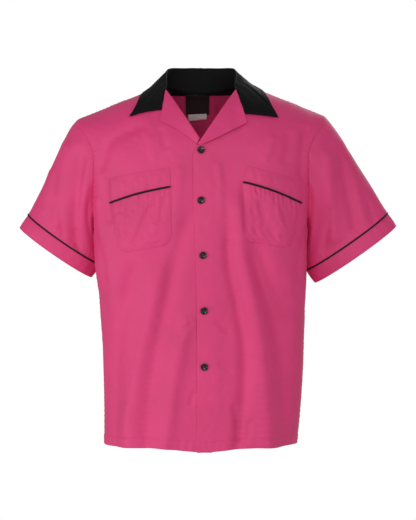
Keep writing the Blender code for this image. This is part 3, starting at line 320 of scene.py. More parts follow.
# How finely the cloth is drawn
EDGE_STEPS = (0.0007, 0.0009, 0.0013, 0.0019)  # closer steps beside every edge
PANEL_STEP = {"front": 0.0028, "back": 0.0029}
SLEEVE_STEP = 0.0030
CUFF_STEP = 0.0016
COLLAR_STEP = 0.0024
LAPEL_STEP = 0.0020
FALL_STEP = 0.0020
POCKET_STEPS = {"band": (0.040, 0.0017), "bag": (0.110, 0.0021), "across": (0.123, 0.0021)}
BAND_STARTS = (0, 12 / 28, 16 / 28, 24 / 28, 1)  # shares of a panel's height where its bands start
FOLD_START = 0.0029
PANEL_WIDE = 0.270
COLLAR_HALF = 0.230
LAPEL_WIDE = 0.060
FALL_WIDE = 0.065
EDGE_TURN = 0.3  # share of the wall that a free edge is rolled in by on each face
GRID_EDGES = {
    "first_row": np.s_[0, :],
    "last_row": np.s_[-1, :],
    "first_column": np.s_[:, 0],
    "last_column": np.s_[:, -1],
}

# Where each piece's random draws start
SEEDS = {
    "front": 11, "front_hem": 17, "back": 23, "back_hem": 29, "sleeve_left": 31, "sleeve_right": 37,
    "cuff": 41, "pocket": 61, "lapel": 71, "collar": 83,
}

# Soft relief, heights first
SEAM_RISE, SEAM_SOFT = 0.0005, 0.0012
RIPPLE_BEND, RIPPLE_BEND_RATE = (0.4, 1.4), 2.1  # how much and how fast a wave's crests bend
WAVE, WAVE_FADE = 0.0008, 0.030
WAVE_LENGTHS = ((0.07, 0.16), (0.25, 0.80))
PATCH_LENGTHS = ((0.10, 0.25), (0.10, 0.30))
CRINKLE, CRINKLE_FADE = 0.00016, 0.010
CRINKLE_LENGTHS = ((0.014, 0.035), (0.020, 0.070))
PUCKER, PUCKER_REACH = 0.00025, 0.0045
PUCKER_LENGTHS, PUCKER_DEEP = (0.007, 0.013), (1, 2)
CREASE_DEPTH, CREASE_FADE = 1.4, 0.03
SLEEVE_EDGE_FADE = 0.020
TUBE_WAVES = 6
TUBE_LAPS = {"wave": (2, 9), "pucker": (28, 64), "cuff": (9, 30)}  # waves round a sleeve, least and most
TUBE_RISE = 2.5  # waves down it, at most
HEM_DEPTH = 0.020
HEM_GROOVE, HEM_GROOVE_WIDTH = 0.00035, 0.0011
HEM_BULK, HEM_WAVE = 0.0002, 0.0003
HEM_WAVE_LENGTHS = ((0.012, 0.022), (0.5, 1.0))
HEM_WAVE_AT, HEM_WAVE_DIES, HEM_BULK_RISE = 0.6, 3, 3  # of the hem's depth
HEM_TRIMS = {"front": (0.002, 0.002), "back": (0.001, 0.002)}  # of the sewn line's ends
FACING = 0.060  # width of the facing inside each front
PIPING_TUCK = 0.0008
CUFF_STITCH, CUFF_FULL, CUFF_WAVE = 0.0024, 0.0006, 0.00012
POCKET_EDGE, POCKET_STITCH, POCKET_GROOVE = 0.0009, 0.0020, 0.0003
POCKET_PUFF = {"band": 0.0012, "bag": 0.0024}
POCKET_PUFF_OVER, POCKET_FOLD_FADE = 0.016, 0.010
PIPED_PUFF = 0.3  # share of the fullness that is left beside the piping
POCKET_LEAST, POCKET_PUCKER = 0.8, 0.7  # shares of the edge's height and of the puckers'
POCKET_WAVE = 0.0003
GATHER, GATHER_START, GATHER_REACH = 0.0014, 0.006, 0.018
GATHER_LENGTHS, GATHER_DEEP = (0.008, 0.020), (0.2, 0.4)
LAPEL_CURVES = {"right": -0.0045, "left": 0.0005}
LAPEL_WAVE, COLLAR_WAVE = 0.0003, 0.00008
LAPEL_WAVE_LENGTHS = ((0.05, 0.12), (0.05, 0.12))
COLLAR_EDGE_LIFT, COLLAR_STITCH, COLLAR_GROOVE = 0.0032, 0.0050, 0.0003

TUBE_SIDES, TUBE_ASIDE = 14, (0.03, 0.02, 1.0)  # no piping runs that way
TUBE_END = (0.25, 1.6)  # steps over which its ends are domed

STITCH_PITCH, STITCH_SHARE = 0.0026, 0.78
STITCH_RADIUS, STITCH_LIFT = 0.00017, 0.00006

BUTTON_STEPS = 48
BUTTON_PROFILE = (  # radius and height, as shares
    (0.0, 0.55), (0.40, 0.55), (0.60, 0.58), (0.70, 0.68), (0.77, 0.86), (0.83, 0.97), (0.89, 1.0),
    (0.95, 0.95), (0.985, 0.82), (1.0, 0.62), (0.98, 0.42), (0.90, 0.20), (0.78, 0.04), (0.66, 0.0), (0.0, 0.0),
)
BUTTON_FACE = 0.55
BUTTON_HOLE, BUTTON_HOLE_AT = 0.00085, 0.0022
BUTTON_TURNS = (0.3, 1.1, 0.6, 0.1, 0.9)
BUTTON_SHARP = 35  # degrees, past which an edge stays sharp
DRILL_SIDES = 16
THREAD, THREAD_SIDES, THREAD_STEPS = 0.00016, 6, 13
# The strands of a bar of thread: which there are, and how far apart and how high they lie, in radii
THREAD_STRANDS, THREAD_APART, THREAD_STANDS, THREAD_HEAPS = (-1, 0, 1), 1.3, 1.1, 0.5
# How far a bar reaches past its holes, how deep and how suddenly it dives into them, and how its links lap
THREAD_OVER, THREAD_DIVES, THREAD_BEND, THREAD_LAPS = 1.02, 0.75, 6, 1.15
# The shank: its radii, in shares of the holes' distance, and its height and place, in shares of the lift
SHANK_SIDES, SHANK_FOOT, SHANK_TOP, SHANK_TALL, SHANK_DOWN = 14, 0.9, 0.8, 2, 0.6

SIDES = {"right": -1.0, "left": 1.0}

PIXEL = 0.0021  # of the picture, at the seam plane
PICTURE_TALL = 520
SENSOR = 36.0
CAMERA_AT = (0.0147, -4.0, -0.3675)
LIGHTS = (
    ("key", (-3.4, -1.9, -0.75), (0.0, 0.0, -0.40), 1.2, 44.0),
    ("front", (-0.9, -4.4, 0.5), (0.0, 0.0, -0.35), 1.6, 40.0),
    ("fill", (2.2, -3.6, 0.0), (0.0, 0.0, -0.35), 2.6, 26.0),
    ("back_light", (1.6, 3.4, 1.6), (0.0, 0.0, -0.35), 2.6, 50.0),
)
WORLD_LIGHT = 0.39
BACKGROUND = 1.0
FLOOR_Z = -1.25
FLOOR_RADIUS, FLOOR_SIDES = 1.7, 96

# Scales of the finishes' patterns
YARN_STRETCHES = ((900.0, 60.0, 1.0), (70.0, 1000.0, 1.0))  # along the weft and along the warp
MOTTLE_SCALE, MOTTLE_SHARE, FUZZ_SCALE = 14.0, 0.55, 160.0
SATIN_SLANT, SATIN_SCALE = 0.6, 60.0
SCRATCH_STRETCH, CLOUD_SCALE = (3000.0, 500.0, 900.0), 220.0
THREAD_SCALES, THREAD_DARK = (900.0, 2600.0), 0.8
FLOOR_SCALE = 3.0


# ---------------------------------------------------------------- numbers


def column(table, names, wanted, at, by):
    """Values of a table's column, read smoothly at the places `at` of its column `by`."""
    rows = np.array(table, float)
    order = np.argsort(rows[:, names.index(by)])
    knots = rows[order, names.index(by)]
    values = rows[order, names.index(wanted)]
    step = np.diff(knots)
    rise = np.diff(values) / step
    slope = np.zeros(len(knots))
    same = rise[:-1] * rise[1:] > 0
    slope[1:-1][same] = 2 * rise[:-1][same] * rise[1:][same] / (rise[:-1][same] + rise[1:][same])
    slope[0], slope[-1] = rise[0], rise[-1]
    at = np.clip(np.asarray(at, float), knots[0], knots[-1])
    i = np.clip(np.searchsorted(knots, at, side="right") - 1, 0, len(step) - 1)
    t = (at - knots[i]) / step[i]
    h = step[i]
    return (
        values[i] * (1 + 2 * t) * (1 - t) ** 2
        + slope[i] * h * t * (1 - t) ** 2
        + values[i + 1] * t * t * (3 - 2 * t)
        - slope[i + 1] * h * t * t * (1 - t)
    )


def hand(side):
    return "right" if side < 0 else "left"


def mix(a, b, t):
    return a + (b - a) * t


def ease(t):
    """Rises from 0 to 1 with level ends."""
    t = np.clip(t, 0, 1)
    return t * t * (3 - 2 * t)


def bell(distance, width):
    """Falls from 1 at no distance, to about a third at the width."""
    return np.exp(-((distance / width) ** 2))


def unit(ways):
    return ways / np.linalg.norm(ways, axis=-1, keepdims=True)


def travelled(points):
    """How far each point is along its line, or along its column of a grid, from the first one."""
    return np.cumsum(np.linalg.norm(np.diff(points, axis=0, prepend=points[:1]), axis=-1), axis=0)


def read_at(at, along, values):
    """Rows of x, y and z read at the places `at`."""
    return np.stack([np.interp(at, along, values[:, k]) for k in range(3)], axis=-1)


def body(name, z):
    return column(BODY, BODY_COLUMNS, name, z, "z")


def shoulder_line(side, x):
    """Height of the shoulder seam at x outwards from the centre: level over the neck, then falling."""
    start = SHOULDER_START[hand(side)]
    return -SHOULDER_SLOPE * SHOULDER_SOFT * np.log1p(np.exp((np.asarray(x, float) - start) / SHOULDER_SOFT))


def lean(z):
    return LEAN * ease((LEAN_FROM - np.asarray(z, float)) / LEAN_OVER)


def crowded(length, step, close, first=True, last=True):
    """Places from 0 to 1 along a length, a step apart, and closer together at its ends."""
    near = np.cumsum([0.0, *close])
    places = [near] if first else [np.array([0.0])]
    stop = length - near[-1] if last else length
    start = places[0][-1]
    count = max(1, round((stop - start) / step))
    places.append(np.linspace(start, stop, count + 1)[1:])
    if last:
        places.append(length - near[::-1][1:])
    return np.concatenate(places) / length


def ripple(u, v, seed, across, along, count=9):
    """Irregular waves of about unit height over u and v, with wavelengths between the two of each pair."""
    draw = np.random.default_rng(seed)
    total = np.zeros(np.shape(u))
    for _ in range(count):
        per_u = draw.choice((-1, 1)) / draw.uniform(*across)
        per_v = 1 / draw.uniform(*along)
        turn = draw.uniform(0, 2 * math.pi)
        bend = draw.uniform(*RIPPLE_BEND) * np.sin(v * per_v * RIPPLE_BEND_RATE * math.pi + turn * 2)
        total = total + np.sin(2 * math.pi * (u * per_u + v * per_v) + turn + bend)
    return total / math.sqrt(count / 2)


def edge_distances(points):
    """How far each point of a grid is, along the cloth, from its first and last row and column."""
    down, over = travelled(points), travelled(points.swapaxes(0, 1)).T
    return {
        "first_row": down,
        "last_row": down[-1:] - down,
        "first_column": over,
        "last_column": over[:, -1:] - over,
    }


# ---------------------------------------------------------------- body panels


def front_edge(face, side, z):
    """How far out from the centre a panel's inner edge runs: a front's goes past it."""
    return side * lean(z) - OVERLAP if face == "front" else 0.0


def row_ends(face, side, band, t):
    """Where a row starts (front edge, fold, neck or centre back) and where it ends (side seam or armhole).
    Gives x_in, z_in, x_out, z_out, and how far the row follows the shoulder line."""
    width = hand(side)
    turn = math.pi / 2 * t
    if band == "lower":
        z_in = mix(HEM_Z, UNDERARM_Z, t)
        z_out = mix(HEM_SIDE_Z, UNDERARM_Z, t)
        return front_edge(face, side, z_in), z_in, body(width, z_out), z_out, 0.0
    share = {"chest": CHEST_SHARE * t, "lapel": mix(CHEST_SHARE, 1, t), "shoulder": 1.0}[band]
    x_out = column(ARMHOLE, ARMHOLE_COLUMNS, "x", share, "share")
    x_out = mix(body(width, UNDERARM_Z), x_out, ease(share / ARMHOLE[1][0]))
    z_out = column(ARMHOLE, ARMHOLE_COLUMNS, "z", share, "share")
    corner = APEX if face == "front" else (0.0, BACK_NECK_Z)
    if band == "chest":
        z_in = mix(UNDERARM_Z, FOLD_END_Z, t)
        return front_edge(face, side, z_in), z_in, x_out, z_out, 0.0
    if band == "lapel":
        start = front_edge(face, side, FOLD_END_Z) + (FOLD_START if face == "front" else 0.0)
        return mix(start, corner[0], t), mix(FOLD_END_Z, corner[1], t), x_out, z_out, ease(t)
    # Over the shoulder the drop below the seam shrinks as the square, which rounds the ridge
    x_in = mix(corner[0], NECK_HALF, math.sin(turn))
    z_in = shoulder_line(side, x_in) + (corner[1] - shoulder_line(side, corner[0])) * math.cos(turn) ** 2
    end_x = mix(x_out, SHOULDER_HALF, math.sin(turn))
    end_z = shoulder_line(side, end_x) + (z_out - shoulder_line(side, x_out)) * math.cos(turn) ** 2
    return x_in, z_in, end_x, end_z, 1.0


def body_surface(face, side, x, z):
    """Points of the torso at x outwards and z, on its front or back."""
    width = body(hand(side), z)
    across = np.clip(np.abs(x) / width, 0, 1)
    round_side = (1 - across**SECTION_POWER) ** (1 / SECTION_POWER)
    drop = np.clip((shoulder_line(side, x) - z) / SHOULDER_ROUND, 0, 1)
    round_top = np.sqrt(1 - (1 - drop) ** 2)
    depth = body(face, z) * round_side * round_top
    toward = -1.0 if face == "front" else 1.0
    pressed = x - body("pinch", z) * bell(round_side, PINCH_REACH[face])
    y = SEAM_Y + toward * depth
    if face == "front":
        past = 1 - ease((np.abs(x - side * lean(z)) - OVERLAP) / LAP_OVER)
        y = y - side * LAP * past
    return np.stack([side * pressed, y, z], axis=-1)


def row_points(face, side, band, t):
    """One row of a body panel, its points at the same shares of the cloth in every row."""
    x_in, z_in, x_out, z_out, follow = row_ends(face, side, band, t)
    w = np.sin(np.linspace(0, math.pi / 2, ROW_SAMPLES))
    x = mix(x_in, x_out, w)
    straight = mix(shoulder_line(side, x_in), shoulder_line(side, x_out), w)
    z = mix(z_in, z_out, w**2 if band == "lower" else w) + follow * (shoulder_line(side, x) - straight)
    if band == "lower":
        z = z + HEM_LIFT * (1 - t) ** 3 * np.sin(math.pi * w) ** 2
    points = body_surface(face, side, x, z)
    along = travelled(points)
    return read_at(along[-1] * PANEL_PLACES[face], along, points)


def smooth_path(knots, count):
    """Evenly counted points of a soft line through the knots."""
    knots = np.array(knots)
    ends = np.vstack([2 * knots[0] - knots[1], knots, 2 * knots[-1] - knots[-2]])
    at = np.linspace(0, len(knots) - 1, count)
    i = np.clip(at.astype(int), 0, len(knots) - 2)
    t = (at - i)[:, None]
    a, b, c, d = (ends[i + k] for k in range(4))
    return b + t * (c - a) / 2 + t * t * (a - 2.5 * b + 2 * c - d / 2) + t**3 * ((b - c) * 1.5 + (d - a) / 2)


def fold_height(panel, x, z, table):
    """How far the folds of a panel lift its cloth at x and z."""
    height = np.zeros(x.shape)
    for name, lift, half_width, through in table:
        if name != panel:
            continue
        path = smooth_path(through, FOLD_STEPS)
        reach = half_width * 3
        low, high = path.min(axis=0) - reach, path.max(axis=0) + reach
        near = (x > low[0]) & (x < high[0]) & (z > low[1]) & (z < high[1])
        if not near.any():
            continue
        gaps = np.hypot(x[near][:, None] - path[:, 0], z[near][:, None] - path[:, 1])
        nearest = gaps.argmin(axis=-1)
        share = nearest / (FOLD_STEPS - 1)
        fade = ease(share / FOLD_FADE)
        if table is not FOLDS:
            fade = fade * ease((1 - share) / FOLD_FADE)
        height[near] += lift * fade * bell(gaps.min(axis=-1), half_width)
    return height


def grid_normals(points, toward):
    """Unit normals of a grid of points, on the side of it that `toward` looks to."""
    normals = unit(np.cross(np.gradient(points, axis=0), np.gradient(points, axis=1)))
    flip = np.sign((normals * toward).sum(axis=-1, keepdims=True))
    return normals * np.where(flip == 0, 1, flip)


def panel_normals(face, points):
    """A body panel's outward normals, with none aside along the centre of the back."""
    normals = grid_normals(points, np.array([0.0, -1.0 if face == "front" else 1.0, 0.0]))
    if face == "back":
        normals[: -ROWS["shoulder"], 0, 0] = 0.0
        normals = unit(normals)
    return normals


def band_places(band):
    """Shares of a band's height at which its rows run, close together over the hem."""
    count = ROWS[band]
    if band != "lower":
        return np.arange(count) / count
    tall = UNDERARM_Z - HEM_Z
    hem = np.arange(HEM_ROWS) * HEM_ROW / tall
    rest = np.linspace(HEM_ROWS * HEM_ROW / tall, 1, count - HEM_ROWS + 1)[:-1]
    return np.concatenate([hem, rest])


def body_grid(face, side):
    """Rows by columns of a panel's points with its main folds, from the hem up and the inner edge out."""
    rows, level = [], []
    for i, band in enumerate(ROWS):
        for t in band_places(band):
            rows.append(row_points(face, side, band, t))
            level.append((BAND_STARTS[i], BAND_STARTS[i + 1], t))
    rows.append(row_points(face, side, "shoulder", 1.0))
    level = np.array([mix(low, high, t) for low, high, t in level] + [1.0])
    points = np.array(rows)
    normals = panel_normals(face, points)
    from_seam = (1 - PANEL_PLACES[face])[None, :]
    from_shoulder = (1 - level)[:, None]
    x, z = points[..., 0], points[..., 2]
    height = fold_height(face, x, z, FOLDS) * ease(from_seam / SEAM_FADE)
    height = height + CREASE_DEPTH * fold_height(face, x, z, CREASES) * ease(from_seam / CREASE_FADE)
    height = height * ease(from_shoulder / SHOULDER_FADE)
    return points + normals * height[..., None]


def beside_seam(distance):
    """How much of its height a pucker has at a distance from its seam."""
    return distance / PUCKER_REACH * np.exp(1 - distance / PUCKER_REACH)


def soften(points, normals, seams, seed, side):
    """Raises a panel off its sewn edges and lets it undulate a little, with puckers along those edges."""
    far = edge_distances(points)
    u, v = far["first_column"] * side, far["first_row"]
    near = np.minimum.reduce([far[edge] for edge in seams])
    height = SEAM_RISE * (1 - np.exp(-near / SEAM_SOFT))
    height += WAVE * ripple(u, v, seed, *WAVE_LENGTHS) * ease(near / WAVE_FADE)
    patchy = ease(0.5 + 0.5 * ripple(u, v, seed + 1, *PATCH_LENGTHS))
    height += CRINKLE * patchy * ripple(u, v, seed + 2, *CRINKLE_LENGTHS) * ease(near / CRINKLE_FADE)
    for k, edge in enumerate(seams):
        along = v if edge.endswith("column") else u
        puckers = ripple(along, near * 0, seed + 5 + k, PUCKER_LENGTHS, PUCKER_DEEP)
        height += PUCKER * beside_seam(far[edge]) * puckers
    return points + normals * height[..., None]


def turned_hem(points, normals, edge, depth, seed, side):
    """Presses the sewn line of a turned hem into a grid and lets the hem below it wave a little."""
    far = edge_distances(points)
    d, along = far[edge], far["first_column"] * side
    press = -HEM_GROOVE * bell(d - depth, HEM_GROOVE_WIDTH)
    below = ease((depth - d) / depth * HEM_BULK_RISE)
    dies = np.exp(-(((d - depth * HEM_WAVE_AT) / depth) ** 2) * HEM_WAVE_DIES)
    wave = HEM_WAVE * ripple(along, d, seed, *HEM_WAVE_LENGTHS) * dies
    return points + normals * (press + HEM_BULK * below + wave)[..., None]


# ---------------------------------------------------------------- sleeves


def cuff_corners(name):
    """The outer and inner corner of a sleeve's hem, and the unit step from the hem up the sleeve."""
    side = SIDES[name]
    outer_x, outer_z, inner_x, inner_z = CUFFS[name]
    outer = np.array([side * outer_x, CUFF_Y, outer_z])
    inner = np.array([side * inner_x, CUFF_Y, inner_z])
    line = (outer - inner) / np.linalg.norm(outer - inner)
    up = np.array([-side * line[2], 0.0, abs(line[0])])
    return outer, inner, up


def cuff_ring(name, turn, above):
    """Points round the sleeve's opening, `above` the hem. Turn runs from 0, outside, over the front."""
    outer, inner, up = cuff_corners(name)
    half = (outer - inner) / 2
    wide = 1 + CUFF_WIDENS * above
    deep = -CUFF_HALF_THICK * np.sin(turn) * wide
    centre = (outer + inner) / 2 + up * above
    ring = centre + np.cos(turn)[:, None] * half
    ring[:, 1] += deep
    ring[:, 2] += FRONT_DROP * np.minimum(0, deep / CUFF_HALF_THICK)
    return ring


def around(points):
    """Unit normals of a tube's grid, outwards, the same on its first and last column."""
    normals = grid_normals(points, points - points.mean(axis=1, keepdims=True))
    normals[:, 0] = normals[:, -1] = (normals[:, 0] + normals[:, -1]) / 2
    return unit(normals)


def sleeve_grid(name, front, back):
    """From the armhole's points, front and back, to just above the piping. Rows run down the sleeve."""
    side = SIDES[name]
    top = len(front) - 1
    hole = np.concatenate([front, back[::-1][1:]])
    along = travelled(hole)
    up_front = math.pi * (1 - along[: top + 1] / along[top])
    down_back = -math.pi * (along[top + 1 :] - along[top]) / (along[-1] - along[top])
    turn = np.concatenate([up_front, down_back])
    end = cuff_ring(name, turn, CUFF_DEPTH + PIPING_TUCK)
    _, _, up = cuff_corners(name)
    over = (1 + np.cos(turn)) / 2  # 1 at the shoulder tip and 0 at the underarm
    about = np.abs(np.sin(turn))
    outwards = np.array([side, 1.0, 1.0])
    leave = sum(
        share[:, None] * np.array(way) * outwards
        for share, way in ((over, LEAVE_TOP), (1 - over, LEAVE_UNDER), (about, LEAVE_ROUND))
    )
    length = np.linalg.norm(end - hole, axis=1)[:, None]
    arrive = -up * length * LEAVE_CUFF
    places = crowded(SLEEVE_LENGTH, SLEEVE_STEP, EDGE_STEPS)
    rows = []
    for t in places:
        rows.append(
            hole * (1 + 2 * t) * (1 - t) ** 2
            + leave * t * (1 - t) ** 2
            + end * t * t * (3 - 2 * t)
            - arrive * t * t * (1 - t)
        )
    points = np.array(rows)
    normals = around(points)
    t = places[:, None]
    x, z = points[..., 0], points[..., 2]
    height = fold_height("sleeve", x, z, FOLDS) * ease(t / SEAM_FADE / 2) * ease((1 - t) / SEAM_FADE)
    front_side = points[..., 1] < CUFF_Y
    for panel, there in (("sleeve", front_side), ("sleeve_back", ~front_side)):
        fine = CREASE_DEPTH * fold_height(panel, x, z, CREASES)
        fine = fine * ease(t / CREASE_FADE) * ease((1 - t) / CREASE_FADE)
        height += fine * there * ease(np.abs(points[..., 1] - CUFF_Y) / SLEEVE_EDGE_FADE)
    points = points + normals * height[..., None]
    return soften_tube(points, turn, SEEDS["sleeve_" + name]), turn


def soften_tube(points, turn, seed):
    """The same soft undulation on a tube, whose waves meet again where it closes."""
    far = edge_distances(points)
    v = far["first_row"]
    near = np.minimum(v, far["last_row"])
    height = SEAM_RISE * (1 - np.exp(-near / SEAM_SOFT))
    draw = np.random.default_rng(seed)
    for _ in range(TUBE_WAVES):
        laps = draw.integers(*TUBE_LAPS["wave"])
        rise = draw.uniform(-TUBE_RISE, TUBE_RISE)
        start = draw.uniform(0, 2 * math.pi)
        wave = np.sin(laps * turn[None, :] + rise * 2 * math.pi * v / SLEEVE_LENGTH + start)
        height += WAVE / 2 * wave * ease(near / WAVE_FADE)
    for edge in ("first_row", "last_row"):
        for _ in range(TUBE_WAVES):
            laps = draw.integers(*TUBE_LAPS["pucker"])
            puckers = np.sin(laps * turn[None, :] + draw.uniform(0, 2 * math.pi))
            height += PUCKER / 2 * beside_seam(far[edge]) * puckers
    return points + around(points) * height[..., None]


def cuff_grid(name, turn):
    """The band of a sleeve's opening, from its piping down to its hem, a little fuller at the middle."""
    heights = mix(CUFF_DEPTH - PIPING_TUCK, 0, crowded(CUFF_DEPTH, CUFF_STEP, EDGE_STEPS))
    points = np.array([cuff_ring(name, turn, above) for above in heights])
    far = edge_distances(points)["last_row"]
    groove = sum(bell(far - line, HEM_GROOVE_WIDTH) for line in (CUFF_STITCH, CUFF_DEPTH - CUFF_STITCH))
    height = CUFF_FULL * np.sin(np.clip(far / CUFF_DEPTH, 0, 1) * math.pi) - HEM_GROOVE * groove
    draw = np.random.default_rng(SEEDS["cuff"] + int(SIDES[name]))
    for _ in range(TUBE_WAVES):
        laps, start = draw.integers(*TUBE_LAPS["cuff"]), draw.uniform(0, 2 * math.pi)
        height += CUFF_WAVE * np.sin(laps * turn[None, :] + start) * np.sin(far / CUFF_DEPTH * math.pi)
    return points + around(points) * height[..., None]


# ---------------------------------------------------------------- what lies on a panel


def tree_of(*grids):
    """A search tree over the surfaces of grids."""
    corners, faces = [], []
    for points in grids:
        rows, columns = points.shape[:2]
        start = len(corners)
        corners += points.reshape(-1, 3).tolist()
        for i in range(rows - 1):
            first = start + i * columns
            faces += [
                (first + j, first + j + 1, first + columns + j + 1, first + columns + j)
                for j in range(columns - 1)
            ]
    return BVHTree.FromPolygons(corners, faces)


def place_on(tree, x, z, toward=-1.0):
    """The point of a panel at x and z, as seen from the `toward` side, and its normal."""
    place, normal, _, _ = tree.ray_cast(Vector((x, toward, z)), Vector((0, -toward, 0)))
    if place is None:
        place, normal, _, _ = tree.find_nearest(Vector((x, toward * 0.1, z)))
    if normal.y * toward < 0:
        normal = -normal
    return place, normal


def on_panel(tree, x, z, lift, toward=-1.0):
    place, normal = place_on(tree, x, z, toward)
    return place + normal * lift


def corner_patch(corners, s, t):
    """A point of the patch between four corners: s from inner to outer, t from top to foot."""
    inner_top, outer_top, outer_foot, inner_foot = (np.array(c) for c in corners)
    return mix(mix(inner_top, outer_top, s), mix(inner_foot, outer_foot, s), t)


def pocket_seam(name, s):
    """The line of a pocket's piping as seen from the front, and the unit step down across it."""
    upper = corner_patch(POCKET_BANDS[name], s, 1)
    lower = corner_patch(POCKET_BAGS[name], s, 0)
    middle = (upper + lower) / 2
    middle[1] += PIPING_BOW * math.sin(math.pi * s)
    uppers = [corner_patch(POCKET_BANDS[name], q, 1) for q in (0, 1)]
    lowers = [corner_patch(POCKET_BAGS[name], q, 0) for q in (0, 1)]
    line = (uppers[1] + lowers[1] - uppers[0] - lowers[0]) / 2
    down = np.array([-line[1], line[0]])
    if down[1] > 0:
        down = -down
    return middle, down / np.linalg.norm(down)


def pocket_grid(name, tree, part):
    """The band above a pocket's piping or the bag below it, sewn flat at its edges and full between."""
    side = SIDES[name]
    down_places = crowded(*POCKET_STEPS[part], EDGE_STEPS)
    over_places = crowded(*POCKET_STEPS["across"], EDGE_STEPS)
    base = np.zeros((len(down_places), len(over_places), 3))
    normals = np.zeros(base.shape)
    for i, t in enumerate(down_places):
        low = max(0.0, (t - (1 - POCKET_CORNER)) / POCKET_CORNER) if part == "bag" else 0.0
        narrow = 1 - POCKET_NARROW * (1 - math.sqrt(max(0.0, 1 - low * low)))
        for j, s in enumerate(over_places):
            s = 0.5 + (s - 0.5) * narrow
            seam, down = pocket_seam(name, s)
            if part == "bag":
                x, z = mix(seam + down * PIPING_SPACE, corner_patch(POCKET_BAGS[name], s, 1), t)
            else:
                x, z = mix(corner_patch(POCKET_BANDS[name], s, 0), seam - down * PIPING_SPACE, t)
            base[i, j], normals[i, j] = place_on(tree, side * x, z)
    far = edge_distances(base)
    foot, head = ("last_row", "first_row") if part == "bag" else ("first_row", "last_row")
    sewn = np.minimum.reduce([far["first_column"], far["last_column"], far[foot]])
    from_piping = far[head]
    by_piping = mix(PIPED_PUFF, 1, ease(from_piping / POCKET_PUFF_OVER))
    puff = POCKET_PUFF[part] * ease(sewn / POCKET_PUFF_OVER) * by_piping
    lift = POCKET_EDGE + puff - POCKET_GROOVE * bell(sewn - POCKET_STITCH, HEM_GROOVE_WIDTH)
    x, z = base[..., 0], base[..., 2]
    lift += CREASE_DEPTH * fold_height("pocket_" + part, x, z, CREASES) * ease(sewn / POCKET_FOLD_FADE)
    u, v = far["first_column"], far["first_row"]
    seed = SEEDS["pocket"] + int(side) + len(part)
    lift += POCKET_WAVE * ripple(u, v, seed, *CRINKLE_LENGTHS) * ease(sewn / POCKET_PUFF_OVER)
    if part == "bag":
        gather = ripple(u, from_piping, seed + 3, GATHER_LENGTHS, GATHER_DEEP)
        reach = np.exp(-from_piping / GATHER_REACH) * ease(from_piping / GATHER_START)
        lift += GATHER * gather * reach * ease(sewn / POCKET_FOLD_FADE)
    puckers = ripple(u + v, sewn * 0, seed + 6, PUCKER_LENGTHS, PUCKER_DEEP)
    lift += PUCKER * POCKET_PUCKER * puckers * bell(sewn - POCKET_STITCH * 2, PUCKER_REACH)
    lift = np.maximum(lift, POCKET_EDGE * POCKET_LEAST)
    return base + normals * lift[..., None]


def even_ring(line, step):
    """A closed line's points, evenly spaced."""
    closed = np.vstack([line, line[:1]])
    along = travelled(closed)
    return read_at(np.linspace(0, along[-1], round(along[-1] / step) + 1)[:-1], along, closed)


def pocket_piping_line(name, tree, count=60):
    """Along the seam between band and bag, just proud of both."""
    side = SIDES[name]
    line = []
    for s in np.linspace(0, 1, count):
        (x, z), _ = pocket_seam(name, s)
        line.append(on_panel(tree, side * x, z, PIPING_LIFT))
    return np.array(line)


def out_of_panel(normal, seen):
    """The unit step out of a panel over its edge, from the way that leads onto it as seen from the front."""
    away = -np.array([seen[0], 0.0, seen[1]])
    away = away - normal * (away @ normal)
    return away / np.linalg.norm(away)


def lapel_grid(name, fold, normals, tree):
    """A lapel from its fold over the front, in rows up the fold and columns out to its free edge."""
    side = SIDES[name]
    first_share, tip_x, tip_z, notch_x, notch_z, rests = LAPELS[name]
    first_row = round(first_share * (len(fold) - 1))
    tip, notch = np.array([side * tip_x, tip_z]), np.array([side * notch_x, notch_z])
    fold, normals = fold[first_row:], normals[first_row:]
    line = (fold[-1] - fold[0])[[0, 2]]
    outward = np.array([side * abs(line[1]), -abs(line[0])]) / np.linalg.norm(line)
    free_start = fold[0][[0, 2]] + np.array([side, 1.0]) * LAPEL_STARTS[name]
    last = len(fold) - 1
    tip_row = round(last * LAPEL_TIP_SHARE)
    across = crowded(LAPEL_WIDE, LAPEL_STEP, EDGE_STEPS, first=False)[1:]
    rolled = 2 * ROLL - CLOTH
    places, ways = [], []
    for i, (foot, normal) in enumerate(zip(fold, normals)):
        if i == last:
            foot = foot + (fold[-2] - foot) * LAPEL_TOP_GAP / np.linalg.norm(fold[-2] - foot)
        free = mix(free_start, tip, i / tip_row)
        if i <= tip_row:
            curve = LAPEL_CURVES[name] * math.sin(math.pi * i / tip_row)
            free = free + outward * curve
        else:
            free = mix(tip, notch, (i - tip_row) / (last - tip_row))
        way = free - fold[i][[0, 2]]
        away = out_of_panel(normal, mix(outward, way / np.linalg.norm(way), ease(i / last)))
        row = [u_turn(foot, away, normal, angle) for angle in np.linspace(0.0, math.pi, ROLL_ROWS)]
        seen = [place_on(tree, *mix(foot[[0, 2]], free, s)) for s in across]
        places.append(row + [np.array(place) for place, _ in seen])
        ways.append([normal] * ROLL_ROWS + [np.array(way) for _, way in seen])
    ways = evened(np.array(ways))
    lift = np.concatenate([np.zeros(ROLL_ROWS), mix(rolled, rests, ease(np.array(across)))])
    points = np.array(places) + ways * lift[:, None]
    normals = grid_normals(points, np.array([0.0, -1.0, 0.0]))
    from_fold = np.clip((np.arange(points.shape[1]) - ROLL_ROWS) / len(across), 0, 1)[None, :]
    flat = edge_distances(points)
    wave = ripple(flat["first_row"], flat["first_column"], SEEDS["lapel"] + int(side), *LAPEL_WAVE_LENGTHS)
    height = LAPEL_WAVE * wave * ease(from_fold * 2)
    return points + normals * height[..., None]


def u_turn(edge, away, normal, angle):
    """A point of the fold round a panel's edge, from its inner face past the edge and back over its outer."""
    middle = edge - normal * CLOTH + normal * ROLL + away * FOLD_GAP
    return middle - normal * ROLL * math.cos(angle) + away * ROLL * math.sin(angle)


